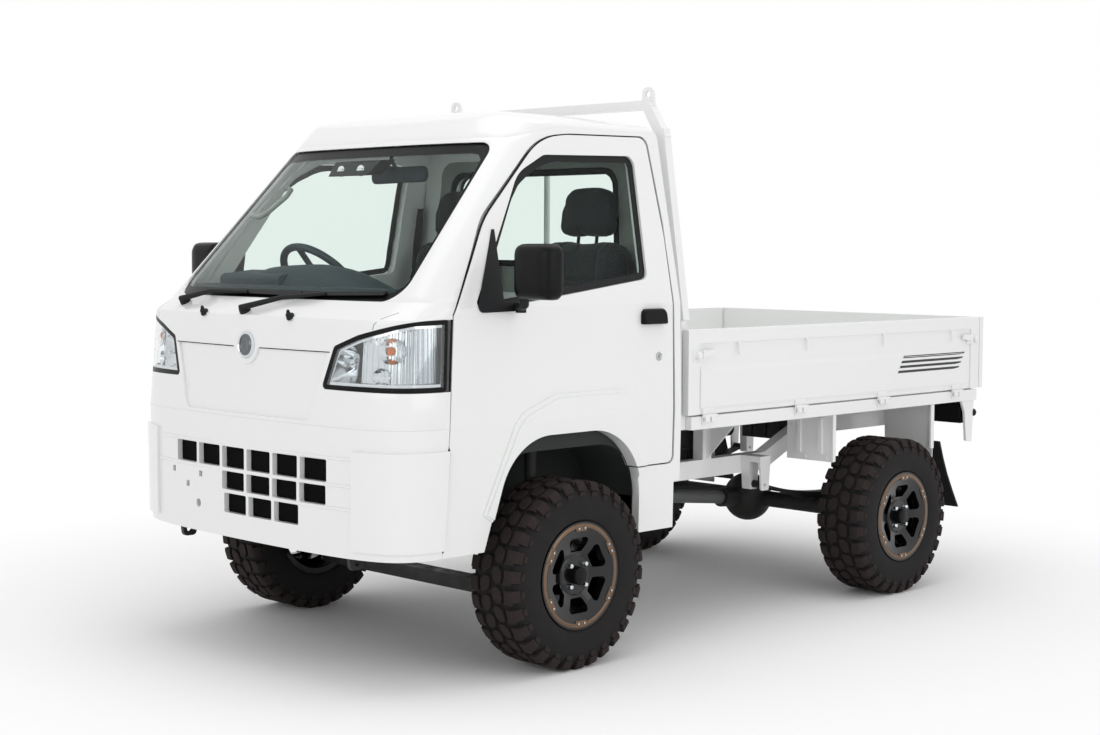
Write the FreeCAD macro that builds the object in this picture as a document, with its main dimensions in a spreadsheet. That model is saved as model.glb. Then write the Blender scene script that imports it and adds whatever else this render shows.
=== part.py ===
import FreeCAD, Part
import Sketcher
import math
import os

# A small forward-control pickup of the Japanese light class, on raised suspension.
# X points forward, Y to the vehicle's left, Z up. The origin is on the ground under the
# middle of the body. All lengths are millimetres.

Vector = FreeCAD.Vector
document = FreeCAD.newDocument("kei_truck")
sheet = document.addObject("Spreadsheet::Sheet", "sizes")


class Size:
    """A length that keeps its number and the sheet expression that it comes from."""

    def __init__(self, value, text):
        self.value = float(value)
        self.text = text

    @staticmethod
    def of(other):
        return other if isinstance(other, Size) else Size(other, repr(float(other)))

    def join(self, other, sign, result, swap=False):
        first, second = (Size.of(other), self) if swap else (self, Size.of(other))
        return Size(result, "(%s %s %s)" % (first.text, sign, second.text))

    def __add__(self, other):
        return self.join(other, "+", self.value + float(other))

    def __radd__(self, other):
        return self.join(other, "+", self.value + float(other), True)

    def __sub__(self, other):
        return self.join(other, "-", self.value - float(other))

    def __rsub__(self, other):
        return self.join(other, "-", float(other) - self.value, True)

    def __mul__(self, other):
        return self.join(other, "*", self.value * float(other))

    def __rmul__(self, other):
        return self.join(other, "*", self.value * float(other), True)

    def __truediv__(self, other):
        return self.join(other, "/", self.value / float(other))

    def __neg__(self):
        return Size(-self.value, "(-1 * %s)" % self.text)

    def __float__(self):
        return self.value


class Sizes:
    """The driving dimensions, each kept in the sheet under its own name."""

    def __init__(self, numbers):
        for row, (name, value) in enumerate(numbers.items(), start=1):
            sheet.set("A%d" % row, name)
            sheet.set("B%d" % row, str(value))
            sheet.setAlias("B%d" % row, name)
            setattr(self, name, Size(value, "sizes." + name))


# Overall layout
overall_length = 3395
body_width = 1475
front_overhang = 782.5
wheelbase = 1900

# Wheels and steering
tyre_radius = 317.5
tyre_width = 220
track_width = 1410
rim_bead_radius = 170
rim_wall = 9
rim_flange = 11.5
shoulder_cut = 28
hub_radius = 64
hub_bore_radius = 30
bolt_circle = 100
bolt_hole = 12.5
bolt_count = 4
spoke_count = 6
spoke_width = 34
kingpin_y = 565
knuckle_disc = 88
running_gap = 0.3
panel_gap = 5

# Cab shell
cab_length = 1370
body_bottom = 430
bumper_top = 840
cowl_height = 1180
belt_height = 1215
header_height = 1790
roof_height = 1900
roof_drop = 70
cowl_setback = 22
screen_base_setback = 62
screen_slope_run = 510
belt_tuck = 9
header_tuck = 125.5
corner_run = 240
panel_wall = 32
door_thickness = 45
nose_recess_depth = 10
lamp_depth = 112
glass_wall = 5
glass_inset = 9
pane_inset = 14
roof_edge_radius = 38

# Door outline along the side
door_front = 1458
door_rear = 374
door_top = 1790
door_sill = 648
quarter_bottom = 412
window_sill = 1205
window_top = 1722
window_rear = 478
window_margin = 95

# Wheel arch
arch_top = 790
arch_front_run = 372
arch_rear_run = 372
arch_rear_corner = 250
arch_front_corner = 230
arch_lean = 125
flare_top = 923
flare_rear_reach = 66
flare_foot = 674
flare_toe = 551
flare_step = 14
flare_height = 11

# Frame rails
rail_offset = 365
rail_width = 50
rail_height = 72
rail_bottom = 505
rail_rise = 124
kick_front = 600
kick_rear = 890
rail_end_gap = 42
rail_front_gap = 120

# Cab floor
floor_sheet = 20
riser_height = 806
riser_front = 1120
wheelhouse_inner = 415
wheelhouse_roof = 740
wheelhouse_gap = 8
floor_half_width = 679

# Load bed
bed_gap = 37.5
floor_top = 829
bed_skin = 24
beam_depth = 54
beam_width = 60
gate_height = 308
gate_bottom = 806
gate_thickness = 28
gate_rail = 50
headboard_height = 1150
headboard_thickness = 30
hinge_radius = 5
hinge_length = 62
strap_height = 24

# Guard frame behind the cab
guard_height = 1985
guard_top_half = 520
guard_foot_half = 690
guard_half = 17

# Rear axle, springs and drive line
axle_tube = 34
diff_radius = 105
spring_offset = 455
spring_width = 50
leaf_thickness = 7
leaf_count = 5
spring_span = 1000
drum_radius = 105
spindle_inset = 42

# Fuel tank on the right of the frame
tank_rear = -210
tank_front = 196
tank_low = 460
tank_top = 720
tank_side = 660

# Engine block and front suspension
engine_rear = 470
engine_front = 1060
engine_low = 395
engine_top = 778
engine_half_width = 235
arm_height = 196

# Tow eyes under the front beam
tow_eye_x = 1600
tow_eye_y = 470
tow_eye_z = 405
tow_eye_radius = 13
tow_plate = 16

# Seats and cab fittings
seat_half_width = 235
seat_offset = 350
cushion_depth = 460
cushion_height = 130
back_height = 560
back_thickness = 110
wheel_ring_radius = 185
ring_tube = 14

s = Sizes({name: value for name, value in list(globals().items())
           if isinstance(value, (int, float)) and not name.startswith("_")})

front_x = s.overall_length / 2
rear_x = -front_x
front_axle = front_x - s.front_overhang
rear_axle = front_axle - s.wheelbase
half_width = s.body_width / 2
cab_back = front_x - s.cab_length
bed_front = cab_back - s.bed_gap
wheel_centre_y = s.track_width / 2
tyre_outer = wheel_centre_y + s.tyre_width / 2
tyre_inner = wheel_centre_y - s.tyre_width / 2
rail_top = s.rail_bottom + s.rail_height
rear_rail_top = rail_top + s.rail_rise
gate_face = half_width - 4
gate_top = s.gate_bottom + s.gate_height


def bind(item, name, value):
    if isinstance(value, Size):
        item.setExpression(name, value.text)
    else:
        setattr(item, name, value)


def body(label, pieces=1):
    result = document.addObject("PartDesign::Body", label)
    result.Label = label
    result.AllowCompound = pieces > 1
    return result


def origin_plane(owner, role):
    return [item for item in owner.Origin.OriginFeatures if item.Role == role][0]


def outline_sketch(owner, role, offset, points):
    """A closed outline whose corners are held to the sheet, offset along the plane's normal."""
    sketch = owner.newObject("Sketcher::SketchObject", "outline")
    sketch.AttachmentSupport = [(origin_plane(owner, role), "")]
    sketch.MapMode = "FlatFace"
    bind(sketch, "AttachmentOffset.Base.z", Size.of(offset))
    corners = [Vector(float(a), float(b), 0) for a, b in points]
    count = len(corners)
    for index in range(count):
        sketch.addGeometry(Part.LineSegment(corners[index], corners[(index + 1) % count]))
    for index, (a, b) in enumerate(points):
        sketch.addConstraint(joined(index - 1 if index else count - 1, index))
        hold_point(sketch, index, "DistanceX", a)
        hold_point(sketch, index, "DistanceY", b)
    return sketch


def joined(before, after):
    return Sketcher.Constraint("Coincident", before, 2, after, 1)


def hold_point(sketch, index, kind, value):
    row = sketch.addConstraint(Sketcher.Constraint(kind, index, 1, float(value)))
    if isinstance(value, Size):
        sketch.setExpression("Constraints[%d]" % row, value.text)


def add_slab(owner, role, points, low, high):
    """Material between two distances along the plane's own axis."""
    offset = -Size.of(high) if role == "XZ_Plane" else low
    sketch = outline_sketch(owner, role, offset, points)
    pad = owner.newObject("PartDesign::Pad", "pad")
    pad.Profile = sketch
    pad.Refine = False
    bind(pad, "Length", Size.of(high) - low)
    sketch.Visibility = False
    return pad


def cut_slab(owner, role, points, low, high):
    """A pocket between two distances along the plane's own axis."""
    offset = -Size.of(low) if role == "XZ_Plane" else high
    sketch = outline_sketch(owner, role, offset, points)
    pocket = owner.newObject("PartDesign::Pocket", "pocket")
    pocket.Profile = sketch
    pocket.Refine = False
    bind(pocket, "Length", Size.of(high) - low)
    sketch.Visibility = False
    return pocket


def box_points(a_low, a_high, b_low, b_high):
    return [(a_low, b_low), (a_high, b_low), (a_high, b_high), (a_low, b_high)]


def mirror_features(owner, features, role="XZ_Plane"):
    mirrored = owner.newObject("PartDesign::Mirrored", "mirrored")
    mirrored.Originals = features
    mirrored.MirrorPlane = (origin_plane(owner, role), [""])
    mirrored.Refine = False
    owner.Tip = mirrored
    return mirrored


def mirrored_part(label, source):
    result = document.addObject("Part::Mirroring", label)
    result.Label = label
    result.Source = source
    result.Normal = Vector(0, 1, 0)
    return result


def together(label, members):
    """Forms that are kept on one node, joined where they meet."""
    result = document.addObject("Part::Compound", label)
    result.Label = label
    result.Links = members
    return result


def shape_part(label, shape):
    result = document.addObject("Part::Feature", label)
    result.Label = label
    result.Shape = shape
    result.Placement = shape.Placement
    return result


def place(x, y, z):
    return Vector(float(x), float(y), float(z))


def rounded_wire(points, plane_point):
    """A closed wire through (a, b, radius) corners, each turned by a tangent arc."""
    count = len(points)
    corners = [(float(a), float(b), float(r)) for a, b, r in points]
    starts, mids, ends = [], [], []
    for index in range(count):
        a, b, radius = corners[index]
        before, after = corners[index - 1], corners[(index + 1) % count]
        u = unit(before[0] - a, before[1] - b)
        v = unit(after[0] - a, after[1] - b)
        half = math.acos(max(-1.0, min(1.0, u[0] * v[0] + u[1] * v[1]))) / 2
        reach = radius / math.tan(half) if radius else 0.0
        middle = unit(u[0] + v[0], u[1] + v[1])
        depth = radius / math.sin(half) - radius if radius else 0.0
        starts.append((a + u[0] * reach, b + u[1] * reach))
        ends.append((a + v[0] * reach, b + v[1] * reach))
        mids.append((a + middle[0] * depth, b + middle[1] * depth))
    edges = []
    for index in range(count):
        if corners[index][2]:
            arc = Part.Arc(plane_point(*starts[index]), plane_point(*mids[index]),
                           plane_point(*ends[index]))
            edges.append(arc.toShape())
        following = starts[(index + 1) % count]
        edges.append(Part.makeLine(plane_point(*ends[index]), plane_point(*following)))
    return Part.Wire(edges)


def unit(a, b):
    length = math.hypot(a, b)
    return (a / length, b / length)


def prism_side(points, y_low, y_high):
    """A side-view (X, Z) outline drawn through from one Y to another."""
    wire = rounded_wire(points, lambda a, b: Vector(a, float(y_low), b))
    return Part.Face(wire).extrude(Vector(0, float(y_high) - float(y_low), 0))


def prism_front(points, x_low, x_high):
    wire = rounded_wire(points, lambda a, b: Vector(float(x_low), a, b))
    return Part.Face(wire).extrude(Vector(float(x_high) - float(x_low), 0, 0))


def prism_plan(points, z_low, z_high):
    wire = rounded_wire(points, lambda a, b: Vector(a, b, float(z_low)))
    return Part.Face(wire).extrude(Vector(0, 0, float(z_high) - float(z_low)))


def box_between(x, y, z):
    size = [float(pair[1]) - float(pair[0]) for pair in (x, y, z)]
    return Part.makeBox(*size, place(x[0], y[0], z[0]))


def rod(start, end, radius):
    run = end - start
    return Part.makeCylinder(float(radius), run.Length, start, run)


def both_sides(shape):
    return [shape, shape.mirror(Vector(0, 0, 0), Vector(0, 1, 0))]


def fused(shapes):
    result = shapes[0]
    if len(shapes) > 1:
        result = shapes[0].multiFuse(shapes[1:])
    return result


def only_solid(shape):
    """The result of a boolean as one solid, or a compound of its solids."""
    solids = shape.Solids
    return solids[0] if len(solids) == 1 else Part.makeCompound(solids)


# Cab: one closed outer form, from which every panel is taken as its own region

screen_front = front_x - s.cowl_setback - s.screen_base_setback
header_front = screen_front - s.screen_slope_run
screen_rise = float(s.header_height - s.belt_height)
nose_swell = 1.46
cab_low = float(s.body_bottom) - 60
cab_high = float(s.roof_height) + 60


def plan_section(height, front, half, inset, back):
    """The cab's outline from above: flat back, straight sides and a rounded nose."""
    run = float(s.corner_run)
    start, nose, side = front - run, front - inset, half - inset
    bend = [(start, side), (start + 0.45 * run, side), (nose - 35, side - 60), (nose, 0.42 * side)]
    poles = bend + [(a, -b) for a, b in reversed(bend)]
    curve = Part.BSplineCurve()
    curve.buildFromPoles([Vector(a, b, height) for a, b in poles], False, 3)
    left, right = Vector(start, side, height), Vector(start, -side, height)
    rear_left, rear_right = Vector(back, side, height), Vector(back, -side, height)
    return Part.Wire([curve.toShape(), Part.makeLine(right, rear_right),
                      Part.makeLine(rear_right, rear_left), Part.makeLine(rear_left, left)])


def cab_block(inset, back_wall=None):
    """The cab as a solid whose faces lie the inset behind the outer skin."""
    above = (cab_high - float(s.header_height)) / screen_rise
    full = float(half_width)
    back = float(cab_back) + (inset if back_wall is None else back_wall)
    tuck_rate = float(s.header_tuck - s.belt_tuck)
    levels = [(cab_low, float(front_x) + nose_swell, full - s.belt_tuck.value),
              (float(s.bumper_top), float(front_x) + nose_swell, full),
              (float(s.cowl_height), float(front_x - s.cowl_setback), full - s.belt_tuck.value),
              (float(s.belt_height), float(screen_front), full - s.belt_tuck.value - 1),
              (float(s.header_height), float(header_front), full - s.header_tuck.value),
              (cab_high, float(header_front) - above * s.screen_slope_run.value,
               full - s.header_tuck.value - above * tuck_rate)]
    sections = [plan_section(z, front, half, inset, back) for z, front, half in levels]
    block = Part.makeLoft(sections, True, True)
    return block.common(roof_form(inset))


def roof_form(inset):
    """A crowned cover that the cab block is trimmed to, seen from the side and the front."""
    top, drop = float(s.roof_height) - inset, float(s.roof_drop)
    back, front = float(cab_back) - 80, float(header_front)
    crown = Part.Arc(Vector(back, -800, top - 24), Vector(front - 380, -800, top),
                     Vector(front + 60, -800, top - 92)).toShape()
    lengthwise = capped(crown, Vector(0, 1600, 0), 0, front + 800)
    reach = 800.0
    fall = (drop + 18) * (reach / 700) ** 2
    across = Part.Arc(Vector(back, -reach, top - fall), Vector(back, 0, top),
                      Vector(back, reach, top - fall)).toShape()
    return lengthwise.common(capped(across, Vector(2000, 0, 0), 1, 0))


def capped(crown, sweep, along, front_end):
    """The space under a curved edge, drawn along one direction down to below the cab."""
    first, last = crown.Vertexes[0].Point, crown.Vertexes[-1].Point
    low_first = Vector(first.x, first.y, cab_low - 20)
    low_last = Vector(last.x, last.y, cab_low - 20)
    edges = [crown]
    if along == 0:
        ahead = Vector(front_end, last.y, last.z - 120)
        low_last = Vector(front_end, last.y, cab_low - 20)
        edges += [Part.makeLine(last, ahead), Part.makeLine(ahead, low_last)]
    else:
        edges += [Part.makeLine(last, low_last)]
    edges += [Part.makeLine(low_last, low_first), Part.makeLine(low_first, first)]
    return Part.Face(Part.Wire(edges)).extrude(sweep)


def rounded_cab(radius):
    """The cab's outer form with its roof edges turned over by the given radius."""
    block = cab_block(0)
    top = float(s.roof_height)
    edges = [edge for edge in block.Edges
             if edge.BoundBox.ZMin > top - 105 and edge.BoundBox.ZMax < top - 4]
    return block.makeFillet(radius, edges)


def arch_points():
    """The wheel opening in the side: upright behind, leaning back in front."""
    rear = front_axle - s.arch_rear_run
    front = front_axle + s.arch_front_run
    slope = s.arch_lean / (s.arch_top - s.quarter_bottom)
    below = s.quarter_bottom - cab_low
    return [(rear, cab_low, 0), (rear, s.arch_top, s.arch_rear_corner),
            (front - s.arch_lean, s.arch_top, s.arch_front_corner),
            (front + slope * below, cab_low, 0)]


def door_points(front_gap, rear_gap, edge_gap):
    """The door's edge in the side view; the gaps widen it into the opening that it fills."""
    front, rear = s.door_front + front_gap, s.door_rear - rear_gap
    top = s.door_top + edge_gap
    low = s.body_bottom - edge_gap * 14
    sill = s.door_sill - edge_gap
    arch_middle = front_axle
    return [(rear, sill, 26), (rear - 6, s.window_sill + 240, 0), (rear + 22, top + 8, 38),
            (rear + 420, top, 300), (front - 533 + front_gap, top - 16, 260),
            (front - 238 + front_gap, 1500 + edge_gap, 300), (front - 46, 1192 + edge_gap, 0),
            (front + 2, low, 0), (arch_middle, low, 0), (arch_middle, sill, 0)]


def window_points():
    """The side window: its sill rises towards the rear and its front follows the screen."""
    rise = s.window_margin
    return [(s.window_rear + 8, s.window_sill + rise, 26), (s.window_rear - 8, s.window_top + 8, 34),
            (s.window_rear + 440, s.window_top - 4, 60), (s.window_rear + 570, s.window_top - 68, 150),
            (s.window_rear + 842, s.window_sill + 14, 14), (s.window_rear + 800, s.window_sill, 30)]


def screen_points(grow):
    low, high = s.belt_height + 20 - grow, s.header_height - 34 + grow
    return [(-616 - grow, low, 60), (616 + grow, low, 60), (548 + grow, high, 50),
            (-548 - grow, high, 50)]


def lamp_points():
    """The headlamp's edge from in front: it widens outwards and runs to the door seam."""
    return [(397, 958, 14), (760, 955, 0), (760, 1190, 0), (545, 1133, 30), (446, 1095, 16)]


def rear_window_points():
    return [(-452, 1345, 60), (452, 1345, 60), (440, 1690, 60), (-440, 1690, 60)]


outer_form = rounded_cab(float(s.roof_edge_radius))
inner_form = cab_block(float(s.panel_wall))
door_inner_form = cab_block(float(s.door_thickness), float(s.panel_wall))
cab_skin = outer_form.cut(inner_form)
door_skin = outer_form.cut(door_inner_form)
glass_form = cab_block(float(s.glass_inset)).cut(cab_block(float(s.glass_inset + s.glass_wall)))

opening_prism = prism_side(door_points(s.panel_gap, s.panel_gap * 2, s.panel_gap), -900, 900)
arch_prism = prism_side(arch_points(), -900, 900)
screen_prism = prism_front(screen_points(0), 900, 1800)
back_split = float(cab_back + s.panel_wall) + 2
roof_split = float(s.header_height) + 25
nose_split = float(s.belt_height) + 20
seat_gap = float(s.running_gap)
panel_top = float(s.bumper_top)

roof_prism = prism_side([(cab_back - 60, roof_split, 0), (830, roof_split, 0), (1040, 1772, 0),
                         (1500, 1772, 0), (1500, 2050, 0), (cab_back - 60, 2050, 0)], -900, 900)
side_prism = prism_side([(back_split, s.quarter_bottom, 0), (back_split, roof_split, 0),
                         (830, roof_split, 0), (1040, 1772, 0), (1750, 1772, 0),
                         (1750, nose_split, 0), (front_axle, nose_split, 0),
                         (front_axle, s.quarter_bottom, 0)], 0, 900)


def make_roof():
    return shape_part("roof_panel", only_solid(cab_skin.common(roof_prism).cut(screen_prism)))


def make_back():
    region = box_between((cab_back - 60, back_split), (-900, 900), (rail_top + seat_gap, roof_split))
    wall = cab_skin.common(region)
    window = prism_front(rear_window_points(), cab_back - 60, back_split + 60)
    return shape_part("cab_back_panel", only_solid(wall.cut(window)))


def flare_points(inset):
    """The outer edge of the raised lip, from its rear foot over the wheel to its front toe."""
    rear = front_axle - s.arch_rear_run - s.flare_rear_reach + inset
    front = front_axle + s.arch_front_run + 3 - inset
    top = s.flare_top - inset
    return [(rear, s.flare_foot, 0), (rear + 125, top, 80), (front - 320, top, 110),
            (front - 150, top - 60, 120), (front, s.flare_toe, 0),
            (front - 90, s.flare_toe - 60, 0), (rear + 90, s.flare_foot - 80, 0)]


def flare_body():
    """Two raised steps round the wheel opening, the lower one a little wider."""
    clip = box_between((cab_back, 1500), (0, 900), (s.quarter_bottom, 1000))
    steps = []
    for lift, inset in ((s.flare_height / 2, 0), (s.flare_height, s.flare_step)):
        swell = cab_block(-float(lift)).cut(inner_form)
        band = prism_side(flare_points(inset), 500.0, 800.0).cut(arch_prism)
        steps.append(swell.common(band))
    return steps[0].fuse(steps[1]).common(clip)


flare_form = flare_body()


def make_side_frames():
    frame = cab_skin.common(side_prism).cut(opening_prism).cut(screen_prism)
    foot = flare_form.common(side_prism).cut(opening_prism)
    frame = frame.cut(arch_prism).fuse(foot)
    left = shape_part("side_frame_left", only_solid(frame))
    return [left, mirrored_part("side_frame_right", left)]


def front_region(z_low, z_high):
    return box_between((1380, 1760), (-900, 900), (z_low, z_high))


nose_recess = [(-345, 852, 30), (345, 852, 30), (375, 955, 0), (418, 1072, 0), (-418, 1072, 0),
               (-375, 955, 0)]
badge_height = 1081


def make_front_panel():
    """The nose between the lamps, with a shallow recess that leaves a round pad for a badge."""
    panel = cab_skin.common(front_region(panel_top, nose_split)).cut(opening_prism)
    for prism in both_sides(prism_front(lamp_points(), 1300, 1800)):
        panel = panel.cut(prism)
    pad = rod(place(1500, 0, badge_height), place(1800, 0, badge_height), 62)
    sunk = outer_form.cut(cab_block(float(s.nose_recess_depth))).common(prism_front(nose_recess, 1500, 1800)).cut(pad)
    return shape_part("front_panel", only_solid(panel.cut(sunk)))


def make_headlamps():
    block = cab_skin.common(prism_front(lamp_points(), 1300, 1800)).cut(opening_prism)
    return shape_part("headlamps", Part.makeCompound(both_sides(only_solid(block))))


def grille_cells():
    """Openings in three rows; the upper row is widest, the lower ones lie to the left."""
    cells = []
    for low, high, first, last, count in ((664, 736, -412, 436, 6), (590, 652, -130, 432, 4),
                                          (512, 578, -118, 300, 3)):
        pitch = (last - first) / count
        for index in range(count):
            left = first + index * pitch + 7
            cells.append([(left, low, 6), (left + pitch - 14, low, 6),
                          (left + pitch - 14, high, 6), (left, high, 6)])
    return cells


def square_hole(y, z, half=10):
    return [(y - half, z - half, 2), (y + half, z - half, 2), (y + half, z + half, 2),
            (y - half, z + half, 2)]


# Mounting holes for the number plate, and a slot for a towing hook below them
plate_holes = [square_hole(-430, 631), square_hole(-255, 628), square_hole(-337, 587),
               [(-282, 512, 11), (-256, 512, 11), (-256, 540, 11), (-282, 540, 11)]]


def make_bumper():
    form = cab_skin.common(front_region(s.body_bottom, panel_top - seat_gap)).cut(opening_prism)
    swell = cab_block(-10.0).cut(inner_form)
    corner = box_between((1380, 1760), (545, 900), (float(s.body_bottom) + 26, panel_top - 70))
    for side in both_sides(swell.common(corner).cut(opening_prism)):
        form = form.fuse(side)
    for cell in grille_cells() + plate_holes:
        form = form.cut(prism_front(cell, 1500, 1800))
    return shape_part("front_bumper", only_solid(form))


def make_glass():
    screen = glass_form.common(screen_prism)
    screen = screen.common(box_between((1000, 1760), (-900, 900), (nose_split, 1800)))
    window = prism_front(rear_window_points(), cab_back, back_split + 60)
    rear = glass_form.common(window)
    return shape_part("cab_glass", Part.makeCompound([only_solid(screen), only_solid(rear)]))


def side_pane_slab():
    """A flat sheet that leans in with the side of the cab, a little behind its skin."""
    lean = float(s.header_tuck - s.belt_tuck - 1) / screen_rise
    low, high = float(s.belt_height) - 60, float(s.header_height)
    outer = float(half_width - s.belt_tuck) - 1 - float(s.pane_inset)
    inner = outer - float(s.glass_wall)
    run = [(y + 60 * lean, low, 0) for y in (inner, outer)]
    rise = [(y - screen_rise * lean, high, 0) for y in (outer, inner)]
    return prism_front(run + rise, 300, 1500)


def make_doors():
    door = door_skin.common(prism_side(door_points(0, 0, 0), 300, 900))
    door = door.cut(prism_side(window_points(), 300, 900)).cut(arch_prism)
    lip = flare_form.common(prism_side(door_points(0, 0, 0), 300, 900))
    left = shape_part("door_left", only_solid(door.fuse(lip)))
    pane = side_pane_slab().common(prism_side(window_points(), 300, 900))
    glass = shape_part("door_glass_left", only_solid(pane))
    return [left, mirrored_part("door_right", left), glass,
            mirrored_part("door_glass_right", glass)]


def make_mirrors():
    """A mirror head on its arm, and the outside handle, as two pieces of one side."""
    head = prism_plan([(1228, 800, 14), (1284, 806, 16), (1280, 986, 16), (1242, 984, 12)], 1250, 1425)
    arm = rod(place(1262, 830, 1290), place(1336, 700, 1262), 11)
    skin_y = float(half_width) - 9
    handle = prism_side([(416, 1150, 8), (540, 1150, 8), (540, 1176, 8), (416, 1176, 8)],
                        skin_y + 1.1, skin_y + 22)
    arm = arm.cut(cab_block(-seat_gap))
    left = shape_part("door_fittings_left", Part.makeCompound([head.fuse(arm), handle]))
    return [left, mirrored_part("door_fittings_right", left)]


# Chassis: side rails, cross members, axles and what hangs under the truck

def rail_outline():
    """Side view of a rail: level under the cab, kicked up over the rear axle."""
    front, rear = front_x - s.rail_front_gap, rear_x + s.rail_end_gap
    kick_front, kick_rear = -s.kick_front, -s.kick_rear
    return [(front, s.rail_bottom), (front, rail_top), (kick_front, rail_top),
            (kick_rear, rear_rail_top), (rear, rear_rail_top),
            (rear, s.rail_bottom + s.rail_rise), (kick_rear, s.rail_bottom + s.rail_rise),
            (kick_front, s.rail_bottom)]


rail_inner = s.rail_offset - s.rail_width / 2
rail_outer = s.rail_offset + s.rail_width / 2


def make_rails():
    rails = body("frame_rails", 2)
    pad = add_slab(rails, "XZ_Plane", rail_outline(), rail_inner, rail_outer)
    mirror_features(rails, [pad])
    return rails


def make_cross_members():
    """Boxes between the rails, and the curved beam that carries the bumper."""
    members = body("frame_ties", 5)
    for station in (1250, 320, -330):
        add_slab(members, "XZ_Plane",
                 box_points(station - 30, station + 30, s.rail_bottom + 8, rail_top - 8),
                 -rail_inner, rail_inner)
    for station in (-700 - s.kick_rear / 2, rear_x + s.rail_end_gap + 60):
        add_slab(members, "XZ_Plane",
                 box_points(station - 30, station + 30, rear_rail_top - 58, rear_rail_top - 8),
                 -rail_inner, rail_inner)
    return together("cross_members", [members, bumper_beam()])


def bumper_beam():
    """A beam ahead of the rails, its front face shaped to the inside of the bumper."""
    inside = cab_block(float(s.panel_wall) + seat_gap)
    low, high = float(s.rail_bottom) - 12, float(rail_top) + 2
    region = box_between((front_x - s.rail_front_gap, 1760), (-560, 560), (low, high))
    beam = inside.common(region)
    eye_x, eye_z, plate = float(s.tow_eye_x), float(s.tow_eye_z), float(s.tow_plate) / 2
    outline = [(eye_x - 52, low + 2, 0), (eye_x + 40, low + 2, 0), (eye_x + 24, eye_z - 26, 16),
               (eye_x - 24, eye_z - 26, 16)]
    for middle in (-float(s.tow_eye_y), float(s.tow_eye_y)):
        hole = rod(place(eye_x, middle - 30, eye_z), place(eye_x, middle + 30, eye_z), s.tow_eye_radius)
        beam = beam.fuse(prism_side(outline, middle - plate, middle + plate)).cut(hole)
    return shape_part("beam_form", only_solid(beam))


def make_cab_floor():
    """Floor sheet, riser, raised seat platform and a boxed housing over each front wheel."""
    floor = body("cab_floor", 8)
    back, edge = cab_back + s.panel_wall + s.running_gap, s.floor_half_width
    wall, gap = s.floor_sheet, s.running_gap
    sheet_top = rail_top + wall
    house_front = front_axle + 389 + s.wheelhouse_gap
    house_rear = front_axle - 389 - s.wheelhouse_gap
    engine_side = s.engine_half_width + 12
    nose, split = 1575, s.wheelhouse_inner - gap
    add_slab(floor, "XY_Plane", box_points(house_front + wall + gap, 1480, -edge, edge), rail_top, sheet_top)
    toe = [(1480, -edge), (nose, -560), (nose, 560), (1480, edge)]
    add_slab(floor, "XY_Plane", toe, rail_top, sheet_top)
    add_slab(floor, "XY_Plane", box_points(s.engine_front + 12, house_front + wall, -split, split),
             rail_top, sheet_top)
    for side in (-1, 1):
        low, high = sorted((side * engine_side, side * split), key=float)
        add_slab(floor, "XY_Plane", box_points(back, s.engine_front + 12, low, high), rail_top, sheet_top)
        low, high = sorted((side * engine_side, side * edge), key=float)
        add_slab(floor, "XY_Plane", box_points(back, house_rear - wall - gap, low, high),
                 rail_top, sheet_top)
    riser_low, riser_back = s.riser_height - wall, s.riser_front + wall
    add_slab(floor, "YZ_Plane", box_points(-split, split, sheet_top + gap, riser_low - gap),
             s.riser_front, riser_back)
    add_slab(floor, "YZ_Plane", box_points(-edge, edge, riser_low, s.riser_height), back, riser_back)
    for side in (-1, 1):
        low, high = sorted((side * s.wheelhouse_inner, side * edge), key=float)
        inner = sorted((side * s.wheelhouse_inner, side * (s.wheelhouse_inner + wall)), key=float)
        roof = s.wheelhouse_roof + wall
        add_slab(floor, "YZ_Plane", box_points(low, high, roof + gap, riser_low - gap),
                 s.riser_front, riser_back)
        add_slab(floor, "XY_Plane", box_points(house_rear - wall, house_front + wall, low, high),
                 s.wheelhouse_roof, roof)
        add_slab(floor, "XY_Plane", box_points(house_rear - wall, house_front + wall, inner[0], inner[1]),
                 s.body_bottom + 25, s.wheelhouse_roof)
        for station in (house_rear - wall, house_front):
            add_slab(floor, "XY_Plane", box_points(station, station + wall, low, high),
                     s.body_bottom + 25, s.wheelhouse_roof)
    return floor


def make_front_axle():
    """Cross tube under the engine, brackets down from the rails and an arm to each wheel."""
    axle = body("front_suspension", 1)
    arm_top, arm_low = s.arm_height + 26, s.arm_height
    bracket_outer = rail_outer - 2
    add_slab(axle, "YZ_Plane", box_points(-bracket_outer, bracket_outer, arm_low, arm_top + 22),
             front_axle - 34, front_axle + 34)
    for side in (-1, 1):
        post = sorted((side * (rail_inner + 2), side * bracket_outer), key=float)
        add_slab(axle, "XZ_Plane", box_points(front_axle - 34, front_axle + 34, arm_low, s.rail_bottom),
                 post[0], post[1])
        arm = [(front_axle - 120, side * (rail_outer - 6)), (front_axle - 24, side * (s.kingpin_y - 14)),
               (front_axle - 14, side * (s.kingpin_y + 12)), (front_axle + 14, side * (s.kingpin_y + 12)),
               (front_axle + 24, side * (s.kingpin_y - 14)), (front_axle + 34, side * (rail_outer - 6))]
        add_slab(axle, "XY_Plane", arm, arm_low, arm_top)
    return axle


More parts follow.
